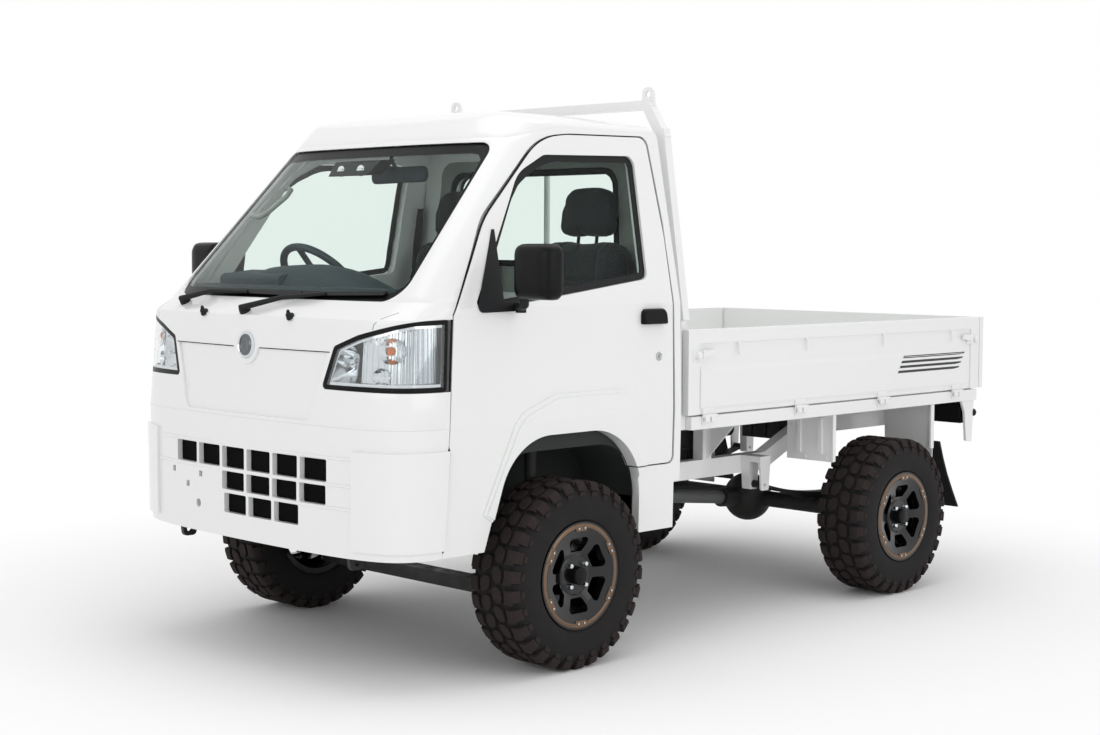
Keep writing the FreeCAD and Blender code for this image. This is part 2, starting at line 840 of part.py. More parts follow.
def make_rear_axle():
    """The tubular axle with its round housing; the wheels' drums turn at its ends."""
    axis_z = s.tyre_radius
    tube_end = tyre_inner + 22
    shaft_end = tyre_outer - s.spindle_inset
    axle = fused([rod(place(rear_axle, -float(tube_end), axis_z),
                      place(rear_axle, tube_end, axis_z), s.axle_tube),
                  rod(place(rear_axle, -float(shaft_end), axis_z),
                      place(rear_axle, shaft_end, axis_z), s.hub_bore_radius - seat_gap),
                  Part.makeSphere(float(s.diff_radius), place(rear_axle, 0, axis_z)),
                  rod(place(rear_axle, 0, axis_z), place(rear_axle + 190, 0, axis_z + 14), 42)])
    for side in (-1, 1):
        seat = box_between((rear_axle - 45, rear_axle + 45),
                           sorted((side * (float(s.spring_offset) - 25),
                                   side * (float(s.spring_offset) + 25))),
                           (axis_z, axis_z + s.axle_tube + 8))
        axle = axle.fuse(seat)
    return shape_part("rear_axle", only_solid(axle))


def spring_shape():
    """A pack of curved leaves, each shorter than the one above."""
    base = float(s.tyre_radius + s.axle_tube) + 8 + seat_gap
    middle, leaf = float(rear_axle), float(s.leaf_thickness)
    low_y = float(s.spring_offset) - float(s.spring_width) / 2
    leaves = []
    for index in range(int(s.leaf_count.value)):
        half = float(s.spring_span) / 2 * (1 - 0.17 * (int(s.leaf_count.value) - 1 - index))
        sag = 70 * (half / 500) ** 2
        low = base + index * leaf
        under = Part.Arc(Vector(middle - half, low_y, low + sag), Vector(middle, low_y, low),
                         Vector(middle + half, low_y, low + sag)).toShape()
        over = Part.Arc(Vector(middle + half, low_y, low + sag + leaf),
                        Vector(middle, low_y, low + leaf),
                        Vector(middle - half, low_y, low + sag + leaf)).toShape()
        ends = [Part.makeLine(under.Vertexes[-1].Point, over.Vertexes[0].Point),
                Part.makeLine(over.Vertexes[-1].Point, under.Vertexes[0].Point)]
        face = Part.Face(Part.Wire([under, ends[0], over, ends[1]]))
        leaves.append(face.extrude(Vector(0, float(s.spring_width), 0)))
    top = base + (int(s.leaf_count.value) - 1) * leaf
    for side in (-1, 1):
        centre = place(middle + side * (float(s.spring_span) / 2 + 4), low_y, top + 70 + leaf / 2)
        leaves.append(Part.makeCylinder(15, float(s.spring_width), centre, Vector(0, 1, 0)))
    return fused(leaves)


def make_springs():
    return shape_part("leaf_springs", Part.makeCompound(both_sides(only_solid(spring_shape()))))


def spring_hangers():
    """Brackets under the rails that hold the spring eyes on both sides."""
    leaf, half = float(s.leaf_thickness), float(s.spring_span) / 2 + 4
    eye_z = (float(s.tyre_radius + s.axle_tube) + 8 + seat_gap
             + (int(s.leaf_count.value) - 1) * leaf + 70 + leaf / 2)
    low_y = float(s.spring_offset) - float(s.spring_width) / 2
    high_y = low_y + float(s.spring_width)
    shapes = []
    for side, top in ((1, float(rail_top)), (-1, float(rear_rail_top) - 10)):
        x = float(rear_axle) + side * half
        cheek = [(x - 24, eye_z - 22, 10), (x + 24, eye_z - 22, 10), (x + 34, top, 0), (x - 34, top, 0)]
        plates = [prism_side(cheek, float(rail_outer), low_y - 0.5),
                  prism_side(cheek, high_y + 0.5, high_y + 8),
                  box_between((x - 33, x + 33), (float(rail_outer), high_y + 8), (top - 24, top))]
        bracket = fused(plates).cut(rod(place(x, low_y - 60, eye_z), place(x, high_y + 20, eye_z), 6))
        shapes += both_sides(bracket)
    return shapes


def make_drive_line():
    """Engine and gearbox as one plain block, and the shaft to the rear axle."""
    block = body("engine_form")
    add_slab(block, "XZ_Plane", box_points(s.engine_rear, s.engine_front, s.engine_low, s.engine_top),
             -s.engine_half_width, s.engine_half_width)
    start = place(s.engine_rear - seat_gap, 0, 470)
    end = place(rear_axle + 191.5, 0, s.tyre_radius + 14)
    shaft = shape_part("shaft_form", rod(start, end, 28))
    return together("drive_line", [block, shaft])


def make_exhaust():
    """A silencer slung beside the shaft, its pipe rising over the rear axle."""
    drum_radius, pipe, y = 62, 19, -205
    low = float(s.rail_bottom) + 8 - seat_gap - drum_radius
    high = float(rear_rail_top) - 58 - seat_gap - pipe
    drum = rod(place(-60, y, low), place(-500, y, low), drum_radius)
    tail = rod(place(-480, y, low), place(-640, y, low), pipe)
    up = rod(place(-640, y, low), place(-900, y, high), pipe)
    out = rod(place(-900, y, high), place(-1560, y, high), pipe)
    inlet = rod(place(-80, y, low), place(300, y, low), pipe)
    joints = [Part.makeSphere(pipe, place(x, y, z)) for x, z in ((-640, low), (-900, high))]
    return shape_part("exhaust", only_solid(fused([drum, tail, up, out, inlet] + joints)))


def make_fuel_tank():
    tank = body("fuel_tank")
    outline = box_points(s.tank_rear, s.tank_front, s.tank_low, s.tank_top)
    add_slab(tank, "XZ_Plane", outline, -s.tank_side, -(rail_outer + s.running_gap))
    return tank


# Wheels, tyres and steering knuckles

tyre_facets = 48


def tyre_profile():
    """Half section from the inner bead to the outer bead, as (distance from middle, radius)."""
    half = float(s.tyre_width) / 2
    radius, cut = float(s.tyre_radius), float(s.shoulder_cut)
    bead = (float(s.rim_bead_radius + s.rim_flange) + seat_gap) / math.cos(math.pi / tyre_facets)
    return [(-half + 10, bead), (-half, bead + 40), (-half, radius - cut), (-half + cut * 0.5, radius - 6),
            (-half + cut * 1.2, radius), (half - cut * 1.2, radius), (half - cut * 0.5, radius - 6),
            (half, radius - cut), (half, bead + 40), (half - 10, bead)]


def faceted_ring(profile, count, centre):
    """A closed ring of flat facets with the given section, its axis along Y."""
    def corner(index, step):
        angle = 2 * math.pi * (step % count) / count
        offset, radius = profile[index]
        return centre + Vector(radius * math.sin(angle), offset, radius * math.cos(angle))

    faces = []
    size = len(profile)
    for step in range(count):
        for index in range(size):
            after = (index + 1) % size
            points = [corner(index, step), corner(after, step),
                      corner(after, step + 1), corner(index, step + 1)]
            faces.append(Part.Face(Part.makePolygon(points + points[:1])))
    shell = Part.makeShell(faces)
    shell.sewShape()
    return Part.makeSolid(shell)


def make_tyre(label, x, side):
    ring = faceted_ring(tyre_profile(), tyre_facets, place(x, side * float(wheel_centre_y), s.tyre_radius))
    if ring.Volume < 0:
        ring.reverse()
    return shape_part(label, ring)


def make_rim(label, x, side):
    """A one-piece wheel: a barrel with flanges, and a dished face of six spokes."""
    half = float(s.tyre_width) / 2
    bead, wall = float(s.rim_bead_radius), float(s.rim_wall)
    flange = bead + float(s.rim_flange)
    hub, bore = float(s.hub_radius), float(s.hub_bore_radius)
    face_out, face_in = half - 14, half - 46
    drum, drum_in, drum_face = float(s.drum_radius), -half + 25, half - 80
    section = [(-half + 11, bead - wall), (-half + 11, flange), (-half + 15, flange),
               (-half + 22, bead), (-half + 60, bead - 2), (-half + 84, bead - 24),
               (half - 84, bead - 24), (half - 60, bead - 2), (half - 22, bead), (half - 15, flange),
               (half - 6, flange), (half - 6, bead - wall - 3), (face_out - 6, hub + 42),
               (face_out - 20, hub + 6), (face_out - 16, hub), (face_out - 16, bore), (drum_in, bore),
               (drum_in, drum), (drum_face, drum), (drum_face, hub + 2), (face_in - 12, hub + 2),
               (face_in, hub + 30), (face_in + 4, bead - wall - 30),
               (face_in - 4, bead - wall - 24), (-half + 84, bead - 24 - wall),
               (-half + 60, bead - 2 - wall)]
    edges = [Vector(0, side * offset, radius) for offset, radius in section]
    wire = Part.makePolygon(edges + edges[:1])
    wheel = Part.Face(wire).revolve(Vector(0, 0, 0), Vector(0, 1, 0), 360)
    inner, outer = hub + 14, bead - wall - 34
    count = int(s.spoke_count.value)
    step = 360.0 / count
    for index in range(count):
        wheel = wheel.cut(spoke_window(index * step, inner, outer, side * drum_face, side * half))
    for index in range(int(s.bolt_count.value)):
        angle = 2 * math.pi * (index + 0.5) / int(s.bolt_count.value)
        reach = float(s.bolt_circle) / 2
        hole = Part.makeCylinder(float(s.bolt_hole) / 2, 120, Vector(
            reach * math.sin(angle), side * half if side < 0 else half - 120, reach * math.cos(angle)),
            Vector(0, 1, 0))
        wheel = wheel.cut(hole)
    wheel.translate(place(x, side * float(wheel_centre_y), s.tyre_radius))
    return shape_part(label, only_solid(wheel))


def spoke_window(turn, inner, outer, y_start, y_end):
    """The opening between two spokes: a rounded trapezium drawn along the wheel's axis."""
    step = 180.0 / int(s.spoke_count.value)
    half_spoke = float(s.spoke_width) / 2
    angle = math.radians(step)
    reach_in = inner * math.tan(angle) - half_spoke / math.cos(angle)
    reach_out = outer * math.tan(angle) - half_spoke / math.cos(angle)
    points = [(-reach_in, inner, 5), (reach_in, inner, 5), (reach_out, outer, 14), (-reach_out, outer, 14)]
    wire = rounded_wire(points, lambda a, b: Vector(a, y_start, b))
    window = Part.Face(wire).extrude(Vector(0, y_end - y_start, 0))
    window.rotate(Vector(0, 0, 0), Vector(0, 1, 0), turn)
    return window


def make_knuckle(label, side):
    """Strut and hub carrier on the steering axis, with the stub that the wheel turns on."""
    axis_y, z = side * float(s.kingpin_y), float(s.tyre_radius)
    arm_top = float(s.arm_height) + 26 + seat_gap
    x = float(front_axle)
    strut_top = float(s.wheelhouse_roof) - seat_gap
    hub_face = side * float(tyre_outer - s.spindle_inset)
    shapes = [rod(place(x, axis_y, arm_top), place(x, axis_y, strut_top), 21),
              rod(place(x, axis_y, z + 130), place(x, axis_y, z + 150), 24),
              rod(place(x, axis_y, arm_top), place(x, axis_y, z + 60), 24),
              rod(place(x, axis_y, z), place(x, hub_face, z), s.hub_bore_radius - seat_gap),
              rod(place(x, axis_y + side * 15, z), place(x, axis_y + side * 22, z), s.knuckle_disc)]
    steer = box_between((x - 130, x), sorted((axis_y - side * 22, axis_y - side * 2)), (z - 62, z - 44))
    return shape_part(label, only_solid(fused(shapes + [steer])))


def make_wheels():
    parts = []
    for end, x in (("front", front_axle), ("rear", rear_axle)):
        for name, side in (("left", 1), ("right", -1)):
            parts.append(make_rim("wheel_%s_%s" % (end, name), x, side))
            parts.append(make_tyre("tyre_%s_%s" % (end, name), x, side))
    return parts


# Load bed: floor with side rails and cross beams, a headboard and three drop gates

gate_inner = gate_face - s.gate_thickness
bed_edge = gate_inner - s.panel_gap
side_rail_face = gate_face - 6
hinge_axis_y = gate_face
hinge_height = s.gate_bottom - s.hinge_radius - s.running_gap
tailgate_face = rear_x + s.hinge_radius
tailgate_inner = tailgate_face + s.gate_thickness
side_gate_rear = tailgate_inner + s.panel_gap
headboard_back = bed_front - s.headboard_thickness
bed_skin_low = s.floor_top - s.bed_skin
beam_low = bed_skin_low - s.beam_depth
tailgate_hinges = (-520, -175, 175, 520)


def bed_stations():
    """Where the cross beams lie under the floor, from the tailgate to the headboard."""
    rear = tailgate_inner + s.panel_gap
    span = headboard_back - rear - s.beam_width
    return [rear + s.beam_width / 2 + span * (index / 4.0) for index in range(5)]


def make_bed_floor():
    bed = body("load_bed")
    rear, front = tailgate_inner + s.panel_gap, headboard_back
    add_slab(bed, "XY_Plane", box_points(rear, front, -bed_edge, bed_edge), bed_skin_low, s.floor_top)
    rail_high = hinge_height - 1
    for side in (-1, 1):
        low, high = sorted((side * (side_rail_face - 34), side * bed_edge), key=float)
        add_slab(bed, "XY_Plane", box_points(rear, front, low, high), rail_high - 4, bed_skin_low + 2)
        low, high = sorted((side * (side_rail_face - 34), side * side_rail_face), key=float)
        add_slab(bed, "XY_Plane", box_points(rear, front, low, high), beam_low, rail_high)
    for middle in bed_stations():
        add_slab(bed, "XY_Plane",
                 box_points(middle - s.beam_width / 2, middle + s.beam_width / 2,
                            -(side_rail_face - 30), side_rail_face - 30),
                 beam_low, bed_skin_low + 2)
    return bed


def hinge_stations():
    """Four hinges along a side, evenly spaced between the ends of the gate."""
    first, last = bed_front - 118, rear_x + 213
    return [first + (last - first) * (index / 3.0) for index in range(4)]


def make_bed_hinges():
    """Barrels on the bed's edge that the gates turn round, each on its leaf."""
    radius, half = float(s.hinge_radius), float(s.hinge_length) / 2
    z, shapes = float(hinge_height), []
    for station in hinge_stations():
        x = float(station)
        barrel = rod(place(x - half, hinge_axis_y, z), place(x + half, hinge_axis_y, z), radius)
        leaf = box_between((x - half, x + half), (float(side_rail_face) + seat_gap, hinge_axis_y),
                           (z - 34, z - 2))
        shapes += both_sides(barrel.fuse(leaf))
    x = float(rear_x + s.hinge_radius)
    for y in tailgate_hinges:
        barrel = rod(place(x, y - half, z), place(x, y + half, z), radius)
        leaf = box_between((x, float(tailgate_inner) + 5), (y - half, y + half), (z - 34, z - 2))
        shapes.append(barrel.fuse(leaf))
    return shape_part("gate_hinges", Part.makeCompound(shapes))


def make_headboard():
    board = body("headboard")
    edge = bed_edge
    add_slab(board, "YZ_Plane", box_points(-edge, edge, beam_low, s.headboard_height),
             headboard_back, bed_front)
    recess_high = s.headboard_height - s.gate_rail
    for side in (-1, 1):
        low, high = sorted((side * 26, side * (edge - 40)), key=float)
        cut_slab(board, "YZ_Plane", box_points(low, high, s.floor_top + 40, recess_high),
                 bed_front - 12, bed_front + 5)
    return board


def make_side_gates():
    """A hollow-pressed gate: rail along the top, a sunk field and an upright at each end."""
    gate = body("side_gate_left")
    front = bed_front - 4
    add_slab(gate, "XZ_Plane", box_points(side_gate_rear, front, s.gate_bottom, gate_top - 4),
             gate_inner, gate_face - 6)
    add_slab(gate, "XZ_Plane", box_points(side_gate_rear, front, gate_top - s.gate_rail, gate_top),
             gate_inner, gate_face)
    add_slab(gate, "XZ_Plane", box_points(side_gate_rear, side_gate_rear + 64, s.gate_bottom, gate_top),
             gate_inner, gate_face)
    add_slab(gate, "XZ_Plane", box_points(front - 60, front, s.gate_bottom, gate_top),
             gate_inner, gate_face)
    crease = gate_top - s.gate_rail - 82
    field = [(gate_face - 6, s.gate_bottom + 14), (gate_face - 1, s.gate_bottom + 26),
             (gate_face - 1, crease - 20), (gate_face - 5.9, crease), (gate_face - 8, crease),
             (gate_face - 8, s.gate_bottom + 14)]
    add_slab(gate, "YZ_Plane", field, side_gate_rear + 76, front - 72)
    half = s.hinge_length / 2
    for station in hinge_stations():
        add_slab(gate, "XZ_Plane", box_points(station - half, station + half, s.gate_bottom,
                                              s.gate_bottom + s.strap_height),
                 gate_face - 9, gate_face)
    return [gate, mirrored_part("side_gate_right", gate)]


def make_tailgate():
    gate = body("tailgate")
    edge = gate_face
    add_slab(gate, "YZ_Plane", box_points(-edge, edge, s.gate_bottom, gate_top - 4),
             tailgate_face + 6, tailgate_inner)
    add_slab(gate, "YZ_Plane", box_points(-edge, edge, gate_top - s.gate_rail, gate_top),
             tailgate_face, tailgate_inner)
    for side in (-1, 1):
        low, high = sorted((side * edge, side * (edge - 54)), key=float)
        add_slab(gate, "YZ_Plane", box_points(low, high, s.gate_bottom, gate_top),
                 tailgate_face, tailgate_inner)
    add_slab(gate, "YZ_Plane", box_points(-(edge - 70), edge - 70, s.gate_bottom + 20, s.gate_bottom + 150),
             tailgate_face + 1, tailgate_face + 8)
    for middle in tailgate_hinges:
        add_slab(gate, "YZ_Plane", box_points(middle - s.hinge_length / 2, middle + s.hinge_length / 2,
                                              s.gate_bottom, s.gate_bottom + s.strap_height),
                 tailgate_face, tailgate_face + 9)
    return gate


def bed_supports():
    """Uprights between the rails and the bed's cross beams, and outriggers to its edges."""
    low_bed = float(beam_low) - seat_gap
    shapes = []
    inner, outer = float(rail_inner), float(rail_outer)
    for index, station in enumerate(bed_stations()):
        x = float(station)
        base = float(rail_top if x > -float(s.kick_front) else rear_rail_top) + seat_gap
        reach = outer + (150 if index else 70)
        post = box_between((x - 26, x + 26), (inner, outer), (base, low_bed))
        wing = prism_front([(outer, base, 0), (outer, low_bed, 0), (reach, low_bed, 0),
                            (reach, low_bed - 16, 0)], x - 3, x + 3)
        shapes += both_sides(post.fuse(wing))
    return shapes


def splash_plates():
    """Plates ahead of and behind each rear wheel, and the flap behind it."""
    low_bed = float(beam_low) - seat_gap
    shapes = []
    for x, low in ((float(rear_axle) + 356, 560), (float(rear_axle) - 356, 300)):
        plate = box_between((x - 2, x + 2), (484, 712), (low, low_bed))
        shapes += both_sides(plate)
    return shapes


def make_brackets():
    """Everything that stands on the rails or hangs from them, as separate solids."""
    return shape_part("chassis_brackets",
                      Part.makeCompound(spring_hangers() + bed_supports() + splash_plates()))


def square_bar(start, end, half, x, depth):
    """A flat-sided bar between two points (Y, Z) in one plane, run past both ends."""
    along = unit(end[0] - start[0], end[1] - start[1])
    past = (along[0] * half * 0.9, along[1] * half * 0.9)
    across = (-along[1] * half, along[0] * half)
    low = [(start[0] - past[0] + sign * across[0], start[1] - past[1] + sign * across[1], 0)
           for sign in (1, -1)]
    high = [(end[0] + past[0] + sign * across[0], end[1] + past[1] + sign * across[1], 0)
            for sign in (-1, 1)]
    return prism_front(low + high, x - depth, x + depth)


def make_guard_frame():
    """The frame behind the cab: leaning posts, a top bar, two lighter bars and corner ears."""
    x = float(bed_front) - float(s.headboard_thickness) / 2
    foot, head = float(s.headboard_height) + seat_gap, float(s.guard_height)
    low_y, top_y, half = float(s.guard_foot_half), float(s.guard_top_half), float(s.guard_half)
    bar_z = head - 60
    bend = (top_y + 70, bar_z - 110)
    plate = box_between((x - 15, x + 15), (low_y - 45, low_y + 6), (foot, foot + 8))
    ear = prism_front([(top_y - 30, bar_z, 0), (top_y + 30, bar_z, 0), (top_y + 26, head + 5, 22),
                       (top_y - 26, head + 5, 22)], x - 5, x + 5)
    ear = ear.cut(rod(place(x - 20, top_y, head - 20), place(x + 20, top_y, head - 20), 12))
    shapes = [square_bar((-top_y, bar_z), (top_y, bar_z), 17.0, x, half),
              rod(place(x, 0, foot), place(x, 0, bar_z), half * 0.7),
              rod(place(x, -low_y + 40, foot + 190), place(x, low_y - 40, foot + 190), half * 0.7)]
    for one in (square_bar((low_y, foot), bend, 22.0, x, half),
                square_bar(bend, (top_y, bar_z), 20.0, x, half), plate, ear):
        shapes += both_sides(one)
    frame = fused(shapes).cut(box_between((x - 100, x + 100), (-900, 900), (foot - 100, foot)))
    return shape_part("guard_frame", only_solid(frame))


def make_tail_lamps():
    """A lamp block under each rear corner of the bed."""
    lamps = []
    low_bed = float(beam_low) - seat_gap
    rear = float(tailgate_inner) + 16
    for side in (-1, 1):
        y = sorted((side * 470, side * 690))
        lamps.append(box_between((rear, rear + 60), y, (low_bed - 100, low_bed)))
    return shape_part("tail_lamps", Part.makeCompound(lamps))


# Cab fittings

def make_seats():
    """Two seats: cushion, sloping back and head rest in one closed form each."""
    back = float(cab_back + s.panel_wall)
    low = float(s.riser_height) + seat_gap
    depth, thick = float(s.cushion_depth), float(s.back_thickness)
    top = low + float(s.cushion_height)
    tall = top + float(s.back_height) - 50
    side_view = [(back + 50 + depth, low, 20), (back + 50 + depth, top, 45),
                 (back + 60 + thick, top - 16, 20), (back + 20 + thick, tall, 30),
                 (back + 24, tall, 25), (back + 60, low, 15)]
    seats = []
    for side in (-1, 1):
        middle = side * float(s.seat_offset)
        half = float(s.seat_half_width)
        seat = prism_side(side_view, middle - half, middle + half)
        rest = box_between((back + 30, back + 100), (middle - 130, middle + 130), (tall - 1, tall + 170))
        seats.append(only_solid(seat.fuse(rest)))
    return shape_part("seats", Part.makeCompound(seats))


wheel_hub = (1085.0, -350.0, 1262.0)
column_tilt = 40.0


def column_direction():
    angle = math.radians(column_tilt)
    return Vector(-math.cos(angle), 0, math.sin(angle))


ahead_of_doors = box_between((s.door_front + 20, 1760), (-900, 900), (900, 1300))


lamp_pocket = [(385, 920, 0), (790, 920, 0), (790, 1198, 0), (545, 1141, 0), (436, 1102, 0)]


def make_dashboard():
    """Instrument panel across the cab with its binnacle and the column's shroud."""
    inside = cab_block(float(s.door_thickness + s.panel_gap)).fuse(
        cab_block(float(s.panel_wall) + seat_gap).common(front_region(900, nose_split)
                                                         .common(ahead_of_doors)))
    outline = [(1690, 1275, 0), (1330, 1268, 35), (1262, 1215, 40), (1275, 1040, 30),
               (1400, 965, 40), (1690, 940, 0)]
    half = float(s.floor_half_width) - 14
    dash = inside.common(prism_side(outline, -half, half))
    y = wheel_hub[1]
    hood = prism_side([(1420, 1225, 0), (1420, 1305, 20), (1262, 1322, 25), (1236, 1250, 10)],
                      y - 175, y + 175)
    end = Vector(*wheel_hub) - column_direction() * 34
    column = rod(end, end - column_direction() * 260, 34)
    for pocket in both_sides(prism_front(lamp_pocket, 1300, 1800)):
        dash = dash.cut(pocket.cut(cab_block(float(s.lamp_depth))))
    return shape_part("dashboard", only_solid(dash.fuse(hood).fuse(column)))


def make_steering_wheel():
    axis = column_direction()
    centre = Vector(*wheel_hub)
    ring, tube = float(s.wheel_ring_radius), float(s.ring_tube)
    shapes = [Part.makeTorus(ring, tube, centre, axis),
              Part.makeCylinder(62, 34, centre - axis * 24, axis)]
    across = Vector(0, 1, 0)
    up = axis.cross(across)
    for turn in (-90, 30, 150):
        angle = math.radians(turn)
        way = across * math.cos(angle) + up * math.sin(angle)
        shapes.append(rod(centre + way * 40, centre + way * ring, 11))
    shapes.append(Part.makeCylinder(18, 10 - seat_gap, centre - axis * (34 - seat_gap), axis))
    return shape_part("steering_wheel", only_solid(fused(shapes)))


parts = [make_rails(), make_cross_members(), make_cab_floor(),
         make_front_axle(), make_rear_axle(), make_springs(), make_brackets(),
         make_exhaust(), make_fuel_tank(), make_roof(), make_back(), make_front_panel(),
         make_headlamps(), make_bumper(), make_glass(), make_bed_floor(), make_bed_hinges(),
         make_headboard(), make_tailgate(),
         make_guard_frame(), make_tail_lamps(), make_seats(), make_dashboard(),
         make_steering_wheel(), make_knuckle("knuckle_left", 1), make_knuckle("knuckle_right", -1)]
parts += [make_drive_line()] + make_side_frames() + make_doors() + make_mirrors()
parts += make_side_gates() + make_wheels()

document.recompute()
for item in document.Objects:
    if "Invalid" in item.State or "Error" in item.State:
        owner = item.getParentGeoFeatureGroup()
        raise RuntimeError("%s of %s is %s" % (item.Label, owner.Label if owner else "-", item.State))
os.makedirs("parts", exist_ok=True)
for part in parts:
    shape = part.Shape
    if shape.isNull() or not shape.isValid():
        raise RuntimeError("%s has no valid shape" % part.Label)
    shape.exportStep("parts/%s.step" % part.Label)
    print("%-22s %2d solids %9.1f cm3" % (part.Label, len(shape.Solids), shape.Volume / 1000))
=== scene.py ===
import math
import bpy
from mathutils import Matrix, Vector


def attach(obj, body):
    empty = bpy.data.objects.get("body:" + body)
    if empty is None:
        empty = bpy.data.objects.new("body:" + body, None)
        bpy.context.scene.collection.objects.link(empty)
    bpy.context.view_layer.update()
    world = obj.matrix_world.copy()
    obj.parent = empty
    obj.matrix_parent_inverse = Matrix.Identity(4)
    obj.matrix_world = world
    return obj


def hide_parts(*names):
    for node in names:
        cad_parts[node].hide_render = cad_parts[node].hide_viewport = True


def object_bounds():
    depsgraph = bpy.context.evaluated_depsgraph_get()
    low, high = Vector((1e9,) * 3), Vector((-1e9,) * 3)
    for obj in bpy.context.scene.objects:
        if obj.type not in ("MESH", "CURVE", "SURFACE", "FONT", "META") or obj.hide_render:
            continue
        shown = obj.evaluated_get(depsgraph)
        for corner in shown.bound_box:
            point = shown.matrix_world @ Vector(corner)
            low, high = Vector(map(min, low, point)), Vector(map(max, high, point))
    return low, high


bl_info = {
    "name": "Kei truck looks",
    "version": (1, 0, 0),
    "blender": (4, 5, 0),
    "location": "View3D > Sidebar > Truck",
    "description": "Dresses the packed frame of a raised light pickup with its finishes and small parts",
    "category": "Object",
}

import bmesh
import bpy
from mathutils import Matrix, Vector
from mathutils.bvhtree import BVHTree

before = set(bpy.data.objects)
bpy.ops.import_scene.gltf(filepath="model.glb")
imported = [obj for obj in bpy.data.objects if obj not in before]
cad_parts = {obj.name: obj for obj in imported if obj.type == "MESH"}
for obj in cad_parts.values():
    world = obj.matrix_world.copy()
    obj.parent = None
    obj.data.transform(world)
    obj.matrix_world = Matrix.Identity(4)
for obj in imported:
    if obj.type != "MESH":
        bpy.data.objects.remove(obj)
cad_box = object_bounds()

# All lengths are millimetres in the truck's own frame: X forwards, Y to its left, Z up.
MM = 0.001
SIDES = (("left", 1), ("right", -1))
AXLES = (("front", 915.0), ("rear", -985.0))
WHEEL_Y = 705.0
WHEEL_Z = 317.5
AHEAD, UP = (1, 0, 0), (0, 0, 1)


# Colours, nodes and materials

def linear(colour):
    """An sRGB hex colour as linear RGBA."""
    parts = [int(colour[i:i + 2], 16) / 255 for i in (1, 3, 5)]
    return tuple(c / 12.92 if c <= 0.04045 else ((c + 0.055) / 1.055) ** 2.4 for c in parts) + (1.0,)


def add_node(tree, kind, inputs=None, **settings):
    """A node with its settings; each input is a value or another node's socket."""
    made = tree.nodes.new(kind)
    for name, value in settings.items():
        setattr(made, name, value)
    for name, value in (inputs or {}).items():
        if isinstance(value, bpy.types.NodeSocket):
            tree.links.new(value, made.inputs[name])
        else:
            made.inputs[name].default_value = value
    return made


def finish(name, colour, roughness, **values):
    """A new material on the principled shader; returns the material, its tree and the shader."""
    material = bpy.data.materials.new(name)
    material.use_nodes = True
    tree = material.node_tree
    shader = tree.nodes["Principled BSDF"]
    shader.inputs["Base Color"].default_value = linear(colour)
    shader.inputs["Roughness"].default_value = roughness
    for key, value in values.items():
        shader.inputs[key.replace("_", " ").title().replace("Ior", "IOR")].default_value = value
    return material, tree, shader


def object_place(tree):
    """Object coordinates, in which a pattern stays put on its piece."""
    return add_node(tree, "ShaderNodeTexCoord").outputs["Object"]


def grain(tree, size, detail=2.0, rough=0.5):
    """Noise on object coordinates whose features are about the given size in millimetres."""
    noise = add_node(tree, "ShaderNodeTexNoise", {"Vector": object_place(tree), "Scale": 1.0 / (size * MM),
                                                  "Detail": detail, "Roughness": rough})
    return noise.outputs["Fac"]


# The length of a band wave at a scale of 1, in metres: a twentieth of a full turn.
BAND = 0.314


def threads(tree, pitch, direction, wander=0.0):
    """Bands at the pitch of a thread in millimetres."""
    wave = add_node(tree, "ShaderNodeTexWave", {"Vector": object_place(tree), "Scale": BAND / (pitch * MM),
                                                "Distortion": wander}, bands_direction=direction)
    return wave.outputs["Fac"]


def relief(tree, shader, height, depth, strength=1.0):
    """The pattern as a bump of the given depth in millimetres."""
    bump = add_node(tree, "ShaderNodeBump", {"Height": height, "Strength": strength, "Distance": depth * MM})
    tree.links.new(bump.outputs["Normal"], shader.inputs["Normal"])


def spread(tree, shader, socket, pattern, low, high):
    """A shader value that follows the pattern between two numbers."""
    ramp = add_node(tree, "ShaderNodeMapRange", {"Value": pattern, "From Min": 0.3, "From Max": 0.7,
                                                 "To Min": low, "To Max": high})
    tree.links.new(ramp.outputs["Result"], shader.inputs[socket])


def two_tone(tree, shader, pattern, first, second):
    """A base colour that follows the pattern between two sRGB hex colours."""
    mix = add_node(tree, "ShaderNodeMix", {"Factor": pattern}, data_type="RGBA")
    mix.inputs["A"].default_value = linear(first)
    mix.inputs["B"].default_value = linear(second)
    tree.links.new(mix.outputs["Result"], shader.inputs["Base Color"])


def clear_to_light(tree, shader, tint):
    """Shadow rays pass a clear material as a plain tint, so that it throws no dark shadow."""
    path = add_node(tree, "ShaderNodeLightPath")
    clear = add_node(tree, "ShaderNodeBsdfTransparent", {"Color": linear(tint)})
    mix = add_node(tree, "ShaderNodeMixShader", {0: path.outputs["Is Shadow Ray"],
                                                1: shader.outputs["BSDF"], 2: clear.outputs["BSDF"]})
    tree.links.new(mix.outputs["Shader"], tree.nodes["Material Output"].inputs["Surface"])


def seen_directly(tree):
    """One for the rays that show the background itself: camera, mirrored and refracted ones."""
    path = add_node(tree, "ShaderNodeLightPath").outputs
    seen = add_node(tree, "ShaderNodeMath", {0: path["Is Camera Ray"], 1: path["Is Glossy Ray"]},
                    operation="MAXIMUM")
    clear = add_node(tree, "ShaderNodeMath", {0: seen.outputs[0], 1: path["Is Transmission Ray"]},
                     operation="MAXIMUM")
    return clear.outputs[0]


def baked_enamel(colour):
    # White solid enamel baked on steel: a thin gloss coat over a faint orange peel.
    # The peel is drawn at 7 mm, coarser than the real 2 mm, so that it shows.
    material, tree, shader = finish("baked_white_enamel", colour, 0.32, ior=1.5,
                                    coat_weight=0.7, coat_roughness=0.04)
    relief(tree, shader, grain(tree, 7.0), 0.02, 0.4)
    return material


